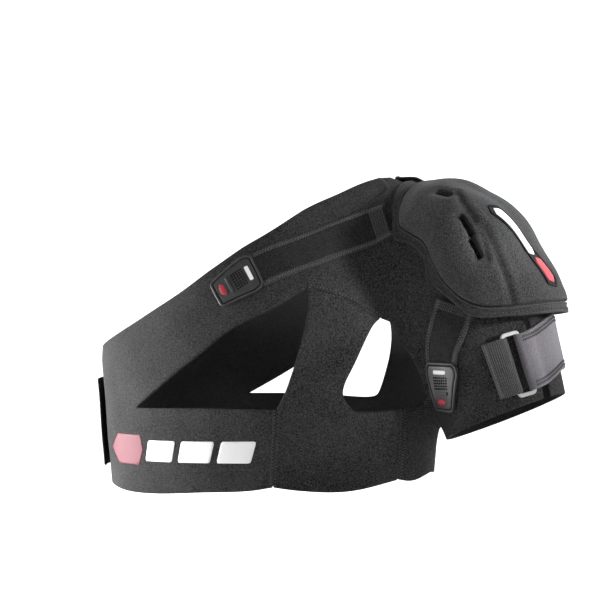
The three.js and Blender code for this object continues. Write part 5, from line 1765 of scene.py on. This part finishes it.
# A cord along a closed or open line of places and normals
def makeCord(name, points, normals, radius, finish, closed=False, sides=8):
    count = len(points)
    ahead = np.gradient(points, axis=0)
    if closed:
        ahead = np.roll(points, -1, axis=0) - np.roll(points, 1, axis=0)
    across = unit(np.cross(normals, unit(ahead)))
    verts = []
    for k in range(sides):
        turn = 2 * math.pi * k / sides
        verts.append(points + radius * (across * math.cos(turn) + normals * math.sin(turn)))
    verts = np.stack(verts, axis=1).reshape(-1, 3)
    faces = []
    for i in range(count if closed else count - 1):
        j = (i + 1) % count
        for k in range(sides):
            n = (k + 1) % sides
            faces.append([i * sides + k, i * sides + n, j * sides + n, j * sides + k])
    if not closed:
        faces.append([k for k in range(sides)][::-1])
        faces.append([(count - 1) * sides + k for k in range(sides)])
    piece = meshObject(name, verts, faces, finishes[finish])
    faceOutward(piece)


# A line on top of the cap's base, at a height over it
def onCapBase(line, height):
    points, normals = onCap(line)
    return points + normals * (capLift(line) + wall["capBase"] + height)[:, None], normals


# Cords and the flange's stitches, in mm; the cord inside the front seam keeps its two edges tight together
seamCord = {"radius": 1.35, "depth": 1.6, "step": 2}
padCord = {"radius": 0.75, "out": 1.9, "height": 0.55}
flangeRow = {"in": 2.4, "height": 0.15, "stitch": 2, "step": 3}
track = trackOf(onTrunk, evenLine(edge("seamA"), 0.8))
points, normals = onTrack(track, np.arange(1, track["length"] - 1, seamCord["step"]), 0)
makeCord("seamCord", points + normals * seamCord["depth"], normals, seamCord["radius"], "blackThread")
points, normals = onCapBase(denseLoop(inset(padOutline, -padCord["out"]), 1.2), padCord["height"])
makeCord("padCord", points, normals, padCord["radius"], "cord", closed=True)
points, normals = onCapBase(denseLoop(inset(flangeOutline, flangeRow["in"])), flangeRow["height"])
starts = np.arange(0, len(points) - flangeRow["step"], flangeRow["step"])
ends = points[starts + flangeRow["stitch"]]
makeThreads("flangeStitches", points[starts], ends, normals[starts], "flange")

# How each sheet was cut: flat width and length in m, share of that rectangle, and how it is held
cuts = {
    "chestPanel": ((0.46, 0.27), 0.41, "stretched", ["shoulderPanel", "centrePanel", "backPanel"]),
    "centrePanel": ((0.11, 0.185), 0.7, "stretched", ["chestPanel", "shoulderPanel", "sidePanel"]),
    "sidePanel": ((0.09, 0.07), 0.92, "stretched", ["centrePanel", "backPanel"]),
    "backPanel": ((0.48, 0.26), 0.56, "stretched", ["shoulderPanel", "sidePanel", "chestPanel"]),
    "shoulderPanel": ((0.1, 0.35), 0.63, "stretched", ["chestPanel", "backPanel", "sleevePanel"]),
    "sleevePanel": ((0.39, 0.2), 0.7, "stretched", ["shoulderPanel"]),
    "closureFlap": ((0.108, 0.096), 0.98, "laid", ["chestPanel"]),
    "capBase": ((0.18, 0.24), 0.86, "laid", ["shoulderPanel", "sleevePanel"]),
    "frontStrap": ((0.037, 0.136), 1, "laid", ["chestPanel", "shoulderPanel"]),
    "lowerStrap": ((0.037, 0.062), 1, "laid", ["sleevePanel"]),
    "rearStrap": ((0.037, 0.154), 1, "laid", ["backPanel", "shoulderPanel"]),
    "armWebbing": ((0.0508, 0.045), 0.99, "folded", ["sleevePanel", "armRing"]),
    "armStrap": ((0.0508, 0.245), 1, "folded", ["sleevePanel", "armRing"]),
}
for name, (flat, share, held, neighbours) in cuts.items():
    piece = bpy.data.objects[name]
